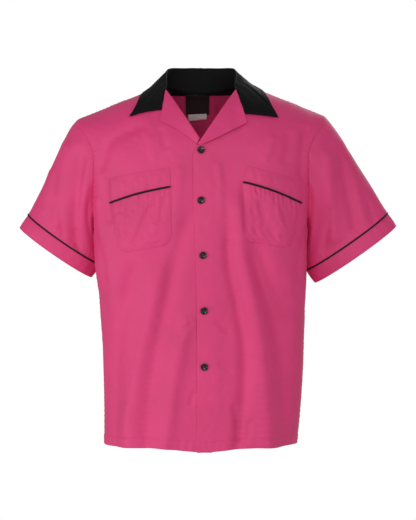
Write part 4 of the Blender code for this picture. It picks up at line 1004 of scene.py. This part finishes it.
def collar_grid(neck, tree):
    """The collar as one strip round the neck: up the stand, over the roll and down the fall."""
    halves = []
    for name, side in SIDES.items():
        line, normals, aways = neck[name]
        way = np.array([side, 1.0]) * LAPELS[name][3:5] - line[0][[0, 2]]
        aways[0] = out_of_panel(normals[0], way)
        steps = np.linalg.norm(np.diff(line, axis=0), axis=1)
        along = np.concatenate([[0.0], np.cumsum(steps)]) / steps.sum()
        rows = []
        for share in crowded(COLLAR_HALF, COLLAR_STEP, EDGE_STEPS, last=False):
            base, normal, away = (read_at(share, along, values) for values in (line, normals, aways))
            outwards = np.array([side, 1.0, 1.0])
            rise, edge = (
                outwards * [float(column(table, COLLAR_COLUMNS, c, share, "share")) for c in "xyz"]
                for table in (COLLAR_RISES, COLLAR_EDGES[name])
            )
            if share < COLLAR_RESTS:
                place, facing = place_on(tree, edge[0], edge[2])
                lift = COLLAR_EDGE_LIFT / max(CLEAR_LEAST, -facing.y)
                resting = np.array(place) - np.array([0.0, lift, 0.0])
                leaving = ease((share - COLLAR_LEAVES) / (COLLAR_RESTS - COLLAR_LEAVES))
                edge = mix(resting, edge, float(leaving))
            rows.append(collar_section(base, normal, away, rise, edge))
        halves.append(rows)
    points = cleared(np.array(halves[0] + halves[1][::-1][1:]), tree)
    far = edge_distances(points)
    on_fall = np.arange(points.shape[1]) > FALL_ROW
    edge = np.minimum.reduce([far["last_column"], far["first_row"], far["last_row"]])
    wave = ripple(far["first_row"], far["first_column"], SEEDS["collar"], *LAPEL_WAVE_LENGTHS)
    height = COLLAR_WAVE * wave - COLLAR_GROOVE * bell(edge - COLLAR_STITCH, HEM_GROOVE_WIDTH)
    return points + collar_normals(points) * (height * on_fall)[..., None]


def collar_normals(points):
    """The collar's normals on the side that shows: inwards on the stand, up and out on the fall."""
    return outward_normals(points, FALL_ROW, points[:, FALL_ROW:] - np.array(COLLAR_MIDDLE))


def collar_section(base, normal, away, rise, edge):
    """One section of the collar, from the neck seam over the roll to the outer edge."""
    height = np.linalg.norm(rise)
    up = rise + away * STAND_START
    up = up / np.linalg.norm(up)
    out = normal * STAND_START + (edge - base) * min(1.0, height / STAND_FULL)
    out = out - up * (out @ up)
    out = out / np.linalg.norm(out)
    aside = math.sqrt(max(0.0, 1 - (up @ away) ** 2))
    foot = base - normal * CLOTH + away * (FOLD_GAP + COLLAR_CLOTH * aside)
    section = [foot + up * max(height, STAND_LEAST) * s for s in np.linspace(0, 1, STAND_ROWS + 1)]
    centre = section[-1] + out * ROLL
    for turn in np.linspace(0, math.pi, ROLL_ROWS + 1)[1:]:
        section.append(centre - out * ROLL * math.cos(turn) + up * ROLL * math.sin(turn))
    start = section[-1]
    bow = FALL_BOW * height / STAND_FULL
    for s in crowded(FALL_WIDE, FALL_STEP, EDGE_STEPS, first=False)[1:]:
        section.append(mix(start, edge, s) + out * bow * math.sin(math.pi * s))
    return section


def cleared(points, tree):
    """The collar with its fall pushed out, smoothly, until all of it is clear of the cloth below it."""
    fall = points[:, FALL_ROW:]
    ways = evened(collar_normals(points))[:, FALL_ROW:]
    push = np.zeros(fall.shape[:2])
    for i, j in np.ndindex(push.shape):
        place, normal, _, _ = tree.find_nearest(Vector(fall[i, j]))
        if normal.dot(place - Vector(TORSO_MIDDLE)) < 0:
            normal = -normal
        short = COLLAR_CLEAR - (Vector(fall[i, j]) - place).dot(normal)
        push[i, j] = max(0.0, short) / max(CLEAR_LEAST, float(np.array(normal) @ ways[i, j]))
    push = spread(push, sum(CLEAR_REACHES), np.max)
    for reach in CLEAR_REACHES:
        push = spread(push, reach, np.mean)
    from_roll = ease(np.arange(push.shape[1]) / FALL_EVENED)
    fall = fall + ways * (push * from_roll)[..., None]
    even = np.stack([
        spread(fall[..., k], FALL_EVENED, np.mean, mode="reflect", reflect_type="odd") for k in range(3)
    ], axis=-1)
    from_end = np.minimum(np.arange(len(fall)), np.arange(len(fall))[::-1])[:, None]
    past_tip = ease((from_end - FALL_TIP_ROW) / FALL_EVENED)
    fall = mix(fall, even, (past_tip * from_roll)[..., None])
    return np.concatenate([points[:, :FALL_ROW], fall], axis=1)


def evened(normals):
    """A grid's normals, each the mean of those around it."""
    return unit(np.stack([spread(normals[..., k], WAYS_EVENED, np.mean) for k in range(3)], axis=-1))


def spread(values, reach, how, **past):
    """A grid's values, each replaced by the greatest or the mean of those within reach down and across."""
    for axis in (0, 1):
        around = [(reach, reach) if axis == k else (0, 0) for k in (0, 1)]
        padded = np.pad(values, around, **(past or {"mode": "edge"}))
        windows = np.lib.stride_tricks.sliding_window_view(padded, 2 * reach + 1, axis=axis)
        values = how(windows, axis=-1)
    return values


def inner_patch(tree, width, top, foot, rows, tilt):
    """A small sheet on the inside of the back, as seen through the neck."""
    points = np.zeros((rows + 1, LABEL_ACROSS + 1, 3))
    ways = np.zeros(points.shape)
    for i, z in enumerate(np.linspace(top, foot, rows + 1)):
        for j, s in enumerate(np.linspace(-0.5, 0.5, LABEL_ACROSS + 1)):
            start = Vector((LABEL_X + s * width, 0.0, z + s * width * tilt))
            place, normal, _, _ = tree.ray_cast(start, Vector((0, 1, 0)))
            points[i, j], ways[i, j] = place, normal if normal.y < 0 else -normal
    return points + evened(evened(ways)) * LABEL_LIFT


def neck_band(tree, stand):
    """The collar's band on the inside of the back, from the stand's foot down to a level line."""
    stand = stand[stand[:, 1] > SEAM_Y]
    across = np.linspace(-BAND_HALF, BAND_HALF, BAND_ACROSS + 1)
    points = np.zeros((BAND_ROWS + 2, len(across), 3))
    for j, x in enumerate(across):
        points[-1, j] = read_at(x, stand[:, 0], stand)
        foot, top = BAND_FOOT + BAND_TILT * x, points[-1, j, 2] - BAND_TOP_GAP
        for i, t in enumerate(np.linspace(0, 1, BAND_ROWS + 1)):
            place, normal, _, _ = tree.ray_cast(Vector((x, 0.0, mix(foot, top, t))), Vector((0, 1, 0)))
            normal = normal if normal.y < 0 else -normal
            points[i, j] = place + normal * BAND_LIFT
    return points


def neck_edge(front, back):
    """The neck's edge from the lapel's fold to the centre back, with the normals and the ways out."""
    start = -ROWS["shoulder"] - 1
    lines, normals = [], []
    for grid, toward in ((front, -1.0), (back, 1.0)):
        lines.append(grid[start:, 0])
        normals.append(grid_normals(grid, np.array([0.0, toward, 0.0]))[start:, 0])
    line, normal = (np.concatenate([a[:-1], [(a[-1] + b[-1]) / 2], b[::-1][1:]]) for a, b in (lines, normals))
    first = line[1] - line[0]
    line[0] = line[0] + first * LAPEL_TOP_GAP / np.linalg.norm(first)
    normal = evened(normal[:, None])[:, 0]
    tangent = np.gradient(line, axis=0)
    tangent[-1, 1:] = 0.0
    away = unit(np.cross(tangent, normal))
    inward = np.array(NECK_MIDDLE) - line
    away *= np.sign((away * inward).sum(axis=1, keepdims=True))
    return line, normal, evened(away[:, None])[:, 0]


# ---------------------------------------------------------------- meshes


def link(name, bm, finish):
    """Makes a shown object of a mesh under construction."""
    mesh = bpy.data.meshes.new(name)
    bm.to_mesh(mesh)
    bm.free()
    mesh.materials.append(finish)
    mesh.shade_smooth()
    made = bpy.data.objects.new(name, mesh)
    bpy.context.scene.collection.objects.link(made)
    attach(made, "root")
    return made


def add_grid(bm, points):
    """Adds an open sheet through a grid of points, with its flat pattern in metres as its UV map."""
    rows, columns = points.shape[:2]
    far = edge_distances(points)
    u, v = far["first_column"], far["first_row"].mean(axis=1)
    flat = bm.loops.layers.uv.get("flat") or bm.loops.layers.uv.new("flat")
    made = bmesh.ops.create_grid(bm, x_segments=columns - 1, y_segments=rows - 1, size=0.5)
    place = {}
    for vert in made["verts"]:
        j = round((vert.co.x + 0.5) * (columns - 1))
        i = round((vert.co.y + 0.5) * (rows - 1))
        place[vert] = (i, j)
        vert.co = points[i, j]
    for vert, (i, j) in place.items():
        for loop in vert.link_loops:
            loop[flat].uv = (u[i, j], v[i])
    return place


def cloth(name, parts, finish, free=(), merge=False):
    """A thin wall of cloth on grids' outer faces, each with its normals and its thickness. Free edges are
    rolled thin, and merge joins what meets."""
    bm = bmesh.new()
    through = bm.verts.layers.float_vector.new("through")
    for points, normals, wall in parts:
        wall = np.broadcast_to(np.asarray(wall, float), points.shape[:2])
        rolled = np.zeros(wall.shape, bool)
        for edge, where in GRID_EDGES.items():
            rolled[where] |= edge in free
        place = add_grid(bm, points)
        facing = 0.0
        for vert, (i, j) in place.items():
            normal = Vector(normals[i, j])
            turn = EDGE_TURN if rolled[i, j] else 0.0
            vert.co -= normal * wall[i, j] * turn
            vert[through] = -normal * wall[i, j] * (1 - 2 * turn)
        faces = list({face for vert in place for face in vert.link_faces})
        for face in faces:
            face.normal_update()
            facing += face.normal.dot(face.verts[0][through])
        if facing > 0:
            bmesh.ops.reverse_faces(bm, faces=faces)
    if merge:
        bmesh.ops.remove_doubles(bm, verts=bm.verts, dist=1e-6)
    made = bmesh.ops.extrude_face_region(bm, geom=bm.faces[:], use_keep_orig=True)
    for item in made["geom"]:
        if isinstance(item, bmesh.types.BMVert):
            item.co += item[through]
    bmesh.ops.recalc_face_normals(bm, faces=bm.faces)
    return link(name, bm, finish)


def outward_normals(points, turned, toward):
    """Normals of a grid whose first rows are rolled over, carried on from its flat part."""
    normals = unit(np.cross(np.gradient(points, axis=0), np.gradient(points, axis=1)))
    if (normals[:, turned:] * toward).sum() < 0:
        normals = -normals
    return normals


def tube(name, line, radius, finish, closed=False):
    """A round piping along a line, with domed ends where it doesn't close on itself."""
    tangent = np.gradient(line, axis=0)
    if closed:
        tangent = (np.roll(line, -1, axis=0) - np.roll(line, 1, axis=0)) / 2
    tangent = unit(tangent)
    aside = unit(np.cross(tangent, np.array(TUBE_ASIDE)))
    over = np.cross(tangent, aside)
    turn = np.linspace(0, 2 * math.pi, TUBE_SIDES + 1)
    wide = np.full(len(line), radius)
    if not closed:
        from_end = np.minimum(np.arange(len(line)), np.arange(len(line))[::-1])
        wide *= np.sqrt(np.clip((from_end + TUBE_END[0]) / TUBE_END[1], 0, 1))
    ring = np.cos(turn)[None, :, None] * aside[:, None] + np.sin(turn)[None, :, None] * over[:, None]
    points = line[:, None] + ring * wide[:, None, None]
    if closed:
        points = np.concatenate([points, points[:1]])
    bm = bmesh.new()
    add_grid(bm, points)
    bmesh.ops.remove_doubles(bm, verts=bm.verts, dist=1e-6)
    if not closed:
        bmesh.ops.holes_fill(bm, edges=[e for e in bm.edges if e.is_boundary], sides=0)
    bmesh.ops.recalc_face_normals(bm, faces=bm.faces)
    return link(name, bm, finish)


# ---------------------------------------------------------------- sewing


def inset_line(points, normals, edge, inset, trim=(0.0, 0.0)):
    """The line that runs `inset` inside one edge of a grid, with the grid's normals, its ends trimmed."""
    if edge.endswith("column"):
        points, normals = points.transpose(1, 0, 2), normals.transpose(1, 0, 2)
    if edge.startswith("last"):
        points, normals = points[::-1], normals[::-1]
    far = edge_distances(points)["first_row"]
    line, ways = (
        np.array([read_at(inset, far[:, j], values[:, j]) for j in range(points.shape[1])])
        for values in (points, normals)
    )
    along = travelled(line)
    keep = (along >= trim[0]) & (along <= along[-1] - trim[1])
    return line[keep], ways[keep]


def sewn(name, lines, finish, pitch=STITCH_PITCH):
    """A row of small stitches along each line."""
    bm = bmesh.new()
    for line, ways in lines:
        along = travelled(line)
        count = max(1, int(along[-1] / pitch))
        middles = (np.arange(count) + 0.5) * along[-1] / count
        reach = pitch * STITCH_SHARE / 2
        for at in middles:
            a, b, way = (
                Vector(read_at(at + d, along, values))
                for d, values in ((-reach, line), (reach, line), (0.0, ways))
            )
            run = (b - a).normalized()
            out = (way - run * way.dot(run)).normalized()
            over = run.cross(out)
            shape = Matrix((run * reach, over * STITCH_RADIUS, out * STITCH_RADIUS)).transposed().to_4x4()
            shape.translation = (a + b) / 2 + out * STITCH_LIFT
            bmesh.ops.create_icosphere(bm, subdivisions=1, radius=1.0, matrix=shape)
    return link(name, bm, finish)


# ---------------------------------------------------------------- buttons


def rod(bm, segments, radius, end_radius, depth, matrix):
    """Adds a capped cylinder, or a cone where its two radii differ."""
    bmesh.ops.create_cone(
        bm, cap_ends=True, segments=segments, radius1=radius, radius2=end_radius, depth=depth, matrix=matrix
    )


def spun(profile, steps):
    """A closed turned solid from a profile of radius and height."""
    bm = bmesh.new()
    verts = [bm.verts.new((r, 0.0, h)) for r, h in profile]
    edges = [bm.edges.new(pair) for pair in zip(verts, verts[1:])]
    bmesh.ops.spin(
        bm, geom=verts + edges, axis=(0, 0, 1), steps=steps, angle=2 * math.pi, use_merge=True
    )
    bmesh.ops.remove_doubles(bm, verts=bm.verts, dist=1e-6)
    bmesh.ops.recalc_face_normals(bm, faces=bm.faces)
    return bm


def button_mesh():
    """A dished button with a rounded rim and four holes through it, lying flat at the origin."""
    blank = bpy.data.meshes.new("button_blank")
    bm = spun([(r * BUTTON_RADIUS, h * BUTTON_THICK) for r, h in BUTTON_PROFILE], BUTTON_STEPS)
    bm.to_mesh(blank)
    bm.free()
    drill = bpy.data.meshes.new("button_drill")
    bm = bmesh.new()
    for k in range(4):
        turn = math.pi / 4 + k * math.pi / 2
        place = (BUTTON_HOLE_AT * math.cos(turn), BUTTON_HOLE_AT * math.sin(turn), BUTTON_THICK / 2)
        rod(bm, DRILL_SIDES, BUTTON_HOLE, BUTTON_HOLE, BUTTON_THICK * 3, Matrix.Translation(place))
    bm.to_mesh(drill)
    bm.free()
    solid, cutter = bpy.data.objects.new("blank", blank), bpy.data.objects.new("drill", drill)
    for made in (solid, cutter):
        bpy.context.scene.collection.objects.link(made)
    cut = solid.modifiers.new("holes", "BOOLEAN")
    cut.operation, cut.object, cut.solver = "DIFFERENCE", cutter, "EXACT"
    bpy.context.view_layer.update()
    drilled = bpy.data.meshes.new_from_object(solid.evaluated_get(bpy.context.evaluated_depsgraph_get()))
    bpy.data.objects.remove(solid)
    bpy.data.objects.remove(cutter)
    return drilled


def button(name, drilled, place, normal, spin_by, finish):
    """One button on the cloth, turned a little by chance as buttons are sewn."""
    mesh = drilled.copy()
    turn = Vector(normal).to_track_quat("Z", "Y").to_matrix().to_4x4()
    put = Matrix.Translation(place) @ turn @ Matrix.Rotation(spin_by, 4, "Z")
    mesh.transform(put)
    bm = bmesh.new()
    bm.from_mesh(mesh)
    made = link(name, bm, finish)
    made.data.set_sharp_from_angle(angle=math.radians(BUTTON_SHARP))
    return made, put


def button_thread(name, put, finish):
    """Two bars of thread through the four holes, and the shank of thread under the button."""
    bm = bmesh.new()
    reach = BUTTON_HOLE_AT * math.sqrt(0.5)
    for side in (-1, 1):
        for strand in THREAD_STRANDS:
            heap = THREAD * (THREAD_STANDS - abs(strand) * THREAD_HEAPS)
            line = []
            for t in np.linspace(-1, 1, THREAD_STEPS):
                drop = abs(t) ** THREAD_BEND * BUTTON_THICK * THREAD_DIVES
                line.append(Vector((
                    t * reach * THREAD_OVER,
                    side * reach + strand * THREAD * THREAD_APART,
                    BUTTON_FACE * BUTTON_THICK + heap - drop,
                )))
            for a, b in zip(line, line[1:]):
                turned = (b - a).to_track_quat("Z", "Y").to_matrix().to_4x4()
                place = Matrix.Translation((a + b) / 2) @ turned
                rod(bm, THREAD_SIDES, THREAD, THREAD, (b - a).length * THREAD_LAPS, place)
    down = Matrix.Translation((0, 0, -BUTTON_LIFT * SHANK_DOWN))
    foot, top = BUTTON_HOLE_AT * SHANK_FOOT, BUTTON_HOLE_AT * SHANK_TOP
    rod(bm, SHANK_SIDES, foot, top, BUTTON_LIFT * SHANK_TALL, down)
    bm.transform(put)
    return link(name, bm, finish)


# ---------------------------------------------------------------- finishes


class Finish:
    """A material under construction: nodes are added by type, set by name and joined by socket."""

    def __init__(self, name):
        self.material = bpy.data.materials.new(name)
        self.material.use_nodes = True
        self.tree = self.material.node_tree
        self.shader = self.tree.nodes["Principled BSDF"]

    def node(self, kind, inputs=None, **settings):
        made = self.tree.nodes.new(kind)
        for key, value in settings.items():
            setattr(made, key, value)
        for key, value in (inputs or {}).items():
            self.put(made.inputs[key], value)
        return made

    def put(self, socket, value):
        if isinstance(value, bpy.types.NodeSocket):
            self.tree.links.new(value, socket)
        else:
            socket.default_value = value

    def shade(self, **values):
        for key, value in values.items():
            self.put(self.shader.inputs[key.replace("_", " ")], value)

    def maths(self, operation, *values):
        made = self.node("ShaderNodeMath", operation=operation)
        for socket, value in zip(made.inputs, values):
            self.put(socket, value)
        return made.outputs[0]

    def places(self):
        return self.node("ShaderNodeTexCoord").outputs["Object"]

    def pattern(self):
        """The cloth's own flat pattern, and its two directions apart."""
        flat = self.node("ShaderNodeUVMap", uv_map="flat").outputs["UV"]
        split = self.node("ShaderNodeSeparateXYZ", {"Vector": flat})
        return flat, split.outputs["X"], split.outputs["Y"]

    def noise(self, vector, scale, detail):
        made = self.node("ShaderNodeTexNoise", {"Vector": vector, "Scale": scale, "Detail": detail})
        return made.outputs["Fac"]

    def streaks(self, vector, stretch, detail):
        """Noise drawn out along one direction."""
        made = self.node("ShaderNodeMapping", {"Vector": vector, "Scale": stretch})
        return self.noise(made.outputs["Vector"], 1.0, detail)

    def ramp(self, fac, *stops):
        made = self.node("ShaderNodeValToRGB", {"Fac": fac})
        elements = made.color_ramp.elements
        while len(elements) < len(stops):
            elements.new(0.5)
        for element, (at, colour) in zip(elements, stops):
            element.position = at
            element.color = (*colour, 1.0)
        return made.outputs["Color"]

    def bump(self, height, strength, distance, normal=None):
        made = self.node(
            "ShaderNodeBump", {"Height": height, "Strength": strength, "Distance": distance}
        )
        if normal is not None:
            self.put(made.inputs["Normal"], normal)
        return made.outputs["Normal"]


def woven(name, dark, mid, light, roughness, sheen, sheen_roughness, specular, pitch, depth):
    """Plain-woven cloth: threads over and under on its own flat pattern, uneven yarn and soft mottling."""
    made = Finish(name)
    flat, across, along = made.pattern()
    place = made.places()
    turn = 2 * math.pi / pitch
    warp = made.maths("SINE", made.maths("MULTIPLY", across, turn))
    weft = made.maths("SINE", made.maths("MULTIPLY", along, turn))
    over = made.maths("MULTIPLY", warp, weft)
    slubs = [made.streaks(flat, stretch, 1.0) for stretch in YARN_STRETCHES]
    yarns = made.maths("MULTIPLY_ADD", made.maths("ADD", *slubs), 0.5, 0.0)
    mottle = made.noise(place, MOTTLE_SCALE, 3.0)
    tone = made.maths("MULTIPLY_ADD", mottle, MOTTLE_SHARE, made.maths("MULTIPLY", yarns, 1 - MOTTLE_SHARE))
    weave = made.bump(made.maths("MULTIPLY_ADD", over, 0.5, 0.5), 0.55, depth)
    grain = made.bump(yarns, 0.35, depth * 1.4, weave)
    made.shade(
        Base_Color=made.ramp(tone, (0.32, dark), (0.5, mid), (0.68, light)),
        Roughness=made.maths("MULTIPLY_ADD", yarns, 0.12, roughness - 0.06),
        Normal=made.bump(made.noise(place, FUZZ_SCALE, 3.0), 0.25, depth * 1.6, grain),
        Sheen_Weight=sheen,
        Sheen_Roughness=sheen_roughness,
        Sheen_Tint=(*mix(np.array(light), 1.0, 0.75).tolist(), 1.0),
        Specular_IOR_Level=specular,
    )
    return made.material


def thread_finish(name, colour):
    """Twisted sewing thread."""
    made = Finish(name)
    place = made.places()
    tone, twist = (made.noise(place, scale, detail) for scale, detail in zip(THREAD_SCALES, (2.0, 1.0)))
    dark = [c * THREAD_DARK for c in colour]
    made.shade(
        Base_Color=made.ramp(tone, (0.35, dark), (0.65, colour)),
        Roughness=0.6,
        Normal=made.bump(twist, 0.4, 0.0001),
    )
    return made.material


def plastic_finish(name):
    """Polished black button plastic with faint clouding and hairline scratches."""
    made = Finish(name)
    place = made.places()
    cloud = made.noise(place, CLOUD_SCALE, 3.0)
    made.shade(
        Base_Color=made.ramp(cloud, (0.3, (0.003, 0.003, 0.003)), (0.7, (0.007, 0.006, 0.007))),
        Roughness=made.maths("MULTIPLY_ADD", cloud, 0.10, 0.09),
        Normal=made.bump(made.streaks(place, SCRATCH_STRETCH, 2.0), 0.06, 0.00005),
        Specular_IOR_Level=0.3,
        Coat_Weight=0.35,
        Coat_Roughness=0.05,
    )
    return made.material


def satin_finish(name, dark, light, roughness, specular, pitch):
    """Closely ribbed satin tape: floats lie side by side along the cloth's pattern."""
    made = Finish(name)
    _, across, along = made.pattern()
    slant = made.maths("ADD", across, made.maths("MULTIPLY", along, SATIN_SLANT))
    ribs = made.maths("SINE", made.maths("MULTIPLY", slant, 2 * math.pi / pitch))
    tone = made.noise(made.places(), SATIN_SCALE, 3.0)
    made.shade(
        Base_Color=made.ramp(tone, (0.3, dark), (0.7, light)),
        Roughness=made.maths("MULTIPLY_ADD", tone, 0.1, roughness),
        Normal=made.bump(made.maths("MULTIPLY_ADD", ribs, 0.5, 0.5), 0.4, pitch / 6),
        Specular_IOR_Level=specular,
    )
    return made.material


def floor_finish(name):
    """Pale matt floor, hardly clouded."""
    made = Finish(name)
    tone = made.noise(made.places(), FLOOR_SCALE, 4.0)
    made.shade(Base_Color=made.ramp(tone, (0.3, (0.80,) * 3), (0.7, (0.84,) * 3)), Roughness=0.8)
    return made.material


# ---------------------------------------------------------------- the shirt

PANEL_PLACES = {
    "front": crowded(PANEL_WIDE, PANEL_STEP["front"], EDGE_STEPS),
    "back": crowded(PANEL_WIDE, PANEL_STEP["back"], EDGE_STEPS, first=False),
}

pink = woven(
    "pink_cloth", (0.665, 0.010, 0.146), (0.715, 0.013, 0.160), (0.765, 0.017, 0.176),
    roughness=0.70, sheen=0.04, sheen_roughness=0.45, specular=1.0, pitch=0.00050, depth=0.00006,
)
black = woven(
    "black_cloth", (0.0024, 0.0024, 0.0026), (0.0034, 0.0034, 0.0036), (0.0048, 0.0048, 0.0050),
    roughness=0.68, sheen=0.0, sheen_roughness=0.45, specular=0.13, pitch=0.00050, depth=0.00006,
)
tab_white = woven(
    "white_tab", (0.92, 0.92, 0.91), (0.95, 0.95, 0.94), (0.97, 0.97, 0.96),
    roughness=0.6, sheen=0.1, sheen_roughness=0.5, specular=0.4, pitch=0.00045, depth=0.00005,
)
piping_black = satin_finish(
    "black_piping", (0.003, 0.003, 0.003), (0.006, 0.006, 0.006), roughness=0.46, specular=0.22, pitch=0.0009
)
label_black = satin_finish(
    "black_label", (0.005, 0.005, 0.006), (0.009, 0.009, 0.010), roughness=0.40, specular=0.40, pitch=0.0005
)
plastic = plastic_finish("black_button")
pink_thread = thread_finish("pink_thread", (0.62, 0.030, 0.140))
black_thread = thread_finish("black_thread", (0.016, 0.016, 0.017))

bare, surfaces, turns = {}, {}, {}
for name, side in SIDES.items():
    for face in ("front", "back"):
        bare[face, name] = body_grid(face, side)
        normals = panel_normals(face, bare[face, name])
        points = soften(bare[face, name], normals, ("last_column", "last_row"), SEEDS[face], side)
        points = turned_hem(points, normals, "first_row", HEM_DEPTH, SEEDS[face + "_hem"], side)
        surfaces[face + "_" + name] = points
hole = slice(ROWS["lower"], None)
for name in SIDES:
    edges = (bare[face, name][hole, -1] for face in ("front", "back"))
    surfaces["sleeve_" + name], turns[name] = sleeve_grid(name, *edges)
    surfaces["cuff_" + name] = cuff_grid(name, turns[name])
everything = tree_of(*surfaces.values())
trees = {name: tree_of(surfaces["front_" + name]) for name in SIDES}
back_tree = tree_of(surfaces["back_right"], surfaces["back_left"])

pieces, seams = {}, {"hem": [], "collar": [], "cuffs": [], "pockets": []}
for name, side in SIDES.items():
    points = surfaces["front_" + name]
    normals = panel_normals("front", points)
    far = edge_distances(points)
    inside = (far["first_row"] < HEM_DEPTH) | (far["first_column"] < FACING)
    pieces["front_" + name] = cloth(
        "front_" + name + "_cloth", [(points, normals, np.where(inside, DOUBLE, CLOTH))], pink,
        free=("first_row", "first_column"),
    )
    seams["hem"].append(inset_line(points, normals, "first_row", HEM_DEPTH, HEM_TRIMS["front"]))
back_parts = []
for name, side in SIDES.items():
    points = surfaces["back_" + name]
    normals = panel_normals("back", points)
    inside = edge_distances(points)["first_row"] < HEM_DEPTH
    back_parts.append((points, normals, np.where(inside, DOUBLE, CLOTH)))
    seams["hem"].append(inset_line(points, normals, "first_row", HEM_DEPTH, HEM_TRIMS["back"]))
pieces["back"] = cloth("back_cloth", back_parts, pink, free=("first_row",), merge=True)
for name in SIDES:
    points = surfaces["sleeve_" + name]
    pieces["sleeve_" + name] = cloth(
        "sleeve_" + name + "_cloth", [(points, around(points), CLOTH)], pink, merge=True
    )
    points = surfaces["cuff_" + name]
    normals = around(points)
    pieces["cuff_" + name] = cloth(
        "cuff_" + name + "_cloth", [(points, normals, DOUBLE)], pink, free=("last_row",), merge=True
    )
    for edge in ("first_row", "last_row"):
        seams["cuffs"].append(inset_line(points, normals, edge, CUFF_STITCH))
    ring = cuff_ring(name, turns[name], CUFF_DEPTH)[:-1]
    pieces["cuff_piping_" + name] = tube(
        "cuff_piping_" + name + "_cord", even_ring(ring, PIPING_STEP), CUFF_PIPING, piping_black, closed=True
    )

toward_front = np.array([0.0, -1.0, 0.0])
for name, side in SIDES.items():
    for part, node in (("bag", "pocket_" + name), ("band", "pocket_band_" + name)):
        points = pocket_grid(name, trees[name], part)
        normals = grid_normals(points, toward_front)
        outer = ("first_column", "last_column", "last_row" if part == "bag" else "first_row")
        pieces[node] = cloth(node + "_cloth", [(points, normals, CLOTH)], pink, free=outer)
        for edge in outer:
            line = inset_line(points, normals, edge, POCKET_STITCH, (POCKET_STITCH, POCKET_STITCH))
            seams["pockets"].append(line)
    line = pocket_piping_line(name, trees[name])
    pieces["pocket_piping_" + name] = tube(
        "pocket_piping_" + name + "_cord", line, POCKET_PIPING, piping_black
    )
    lapel_rows = slice(ROWS["lower"] + ROWS["chest"], -ROWS["shoulder"])
    points = surfaces["front_" + name]
    fold, fold_normals = points[lapel_rows, 0], panel_normals("front", points)[lapel_rows, 0]
    points = lapel_grid(name, fold, fold_normals, trees[name])
    normals = outward_normals(points, ROLL_ROWS, toward_front)
    pieces["lapel_" + name] = cloth(
        "lapel_" + name + "_cloth", [(points, normals, DOUBLE)], pink,
        free=("last_column", "first_row", "last_row"),
    )

neck = {name: neck_edge(surfaces["front_" + name], surfaces["back_" + name]) for name in SIDES}
points = collar_grid(neck, everything)
normals = collar_normals(points)
band = neck_band(back_tree, points[:, 0])
pieces["collar"] = cloth(
    "collar_cloth",
    [(points, normals, COLLAR_CLOTH), (band, grid_normals(band, toward_front), BAND_WALL)],
    black, free=("last_column", "first_row", "last_row"),
)
seams["collar"].append(
    inset_line(points, normals, "last_column", COLLAR_STITCH, (COLLAR_STITCH, COLLAR_STITCH))
)

for name, finish, tilt in (("label", label_black, 0.0), ("size_tab", tab_white, 0.10)):
    points = inner_patch(back_tree, *LABELS[name], tilt)
    normals = grid_normals(points, toward_front)
    pieces[name] = cloth(
        name + "_cloth", [(points, normals, LABEL_WALL)], finish,
        free=("first_row", "last_row", "first_column", "last_column"),
    )

drilled = button_mesh()
for i, (x, z) in enumerate(BUTTONS, start=1):
    place, normal = place_on(trees["left"], x, z)
    place = place + normal * BUTTON_LIFT
    made, put = button(f"button_{i}_turned", drilled, place, normal, BUTTON_TURNS[i - 1], plastic)
    pieces[f"button_{i}"] = made
    button_thread(f"button_{i}_thread", put, pink_thread)

sewing = {
    "hem": sewn("hem_stitching", seams["hem"], pink_thread),
    "cuffs": sewn("cuff_stitching", seams["cuffs"], pink_thread),
    "pockets": sewn("pocket_stitching", seams["pockets"], pink_thread),
    "collar": sewn("collar_stitching", seams["collar"], black_thread),
}
for node, piece in pieces.items():
    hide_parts(node)

# ---------------------------------------------------------------- camera, light and floor

camera = bpy.data.objects.new("camera", bpy.data.cameras.new("camera"))
camera.location = CAMERA_AT
camera.rotation_euler = (math.pi / 2, 0, 0)
camera.data.sensor_width = SENSOR
camera.data.lens = SENSOR * -CAMERA_AT[1] / (PICTURE_TALL * PIXEL)
bpy.context.scene.collection.objects.link(camera)
bpy.context.scene.camera = camera

for name, place, aim, size, power in LIGHTS:
    lamp = bpy.data.lights.new(name, "AREA")
    lamp.shape, lamp.size, lamp.energy = "DISK", size, power
    made = bpy.data.objects.new(name, lamp)
    made.location = place
    made.rotation_euler = (Vector(aim) - Vector(place)).to_track_quat("-Z", "Y").to_euler()
    bpy.context.scene.collection.objects.link(made)

world = bpy.data.worlds.new("studio")
world.use_nodes = True
sky = world.node_tree
around_it = sky.nodes["Background"]
around_it.inputs["Color"].default_value = (1, 1, 1, 1)
around_it.inputs["Strength"].default_value = WORLD_LIGHT
behind_it = sky.nodes.new("ShaderNodeBackground")
behind_it.inputs["Color"].default_value = (1, 1, 1, 1)
behind_it.inputs["Strength"].default_value = BACKGROUND
seen, both = sky.nodes.new("ShaderNodeLightPath"), sky.nodes.new("ShaderNodeMixShader")
sky.links.new(seen.outputs["Is Camera Ray"], both.inputs["Fac"])
sky.links.new(around_it.outputs[0], both.inputs[1])
sky.links.new(behind_it.outputs[0], both.inputs[2])
sky.links.new(both.outputs[0], sky.nodes["World Output"].inputs["Surface"])
bpy.context.scene.world = world
bpy.context.scene.view_settings.view_transform = "Standard"

bm = bmesh.new()
bmesh.ops.create_circle(bm, cap_ends=True, segments=FLOOR_SIDES, radius=FLOOR_RADIUS)
bmesh.ops.translate(bm, verts=bm.verts, vec=(0, 0, FLOOR_Z))
floor_mesh = bpy.data.meshes.new("floor")
bm.to_mesh(floor_mesh)
bm.free()
floor = bpy.data.objects.new("floor", floor_mesh)
floor_mesh.materials.append(floor_finish("pale_floor"))
bpy.context.scene.collection.objects.link(floor)

bpy.context.view_layer.update()
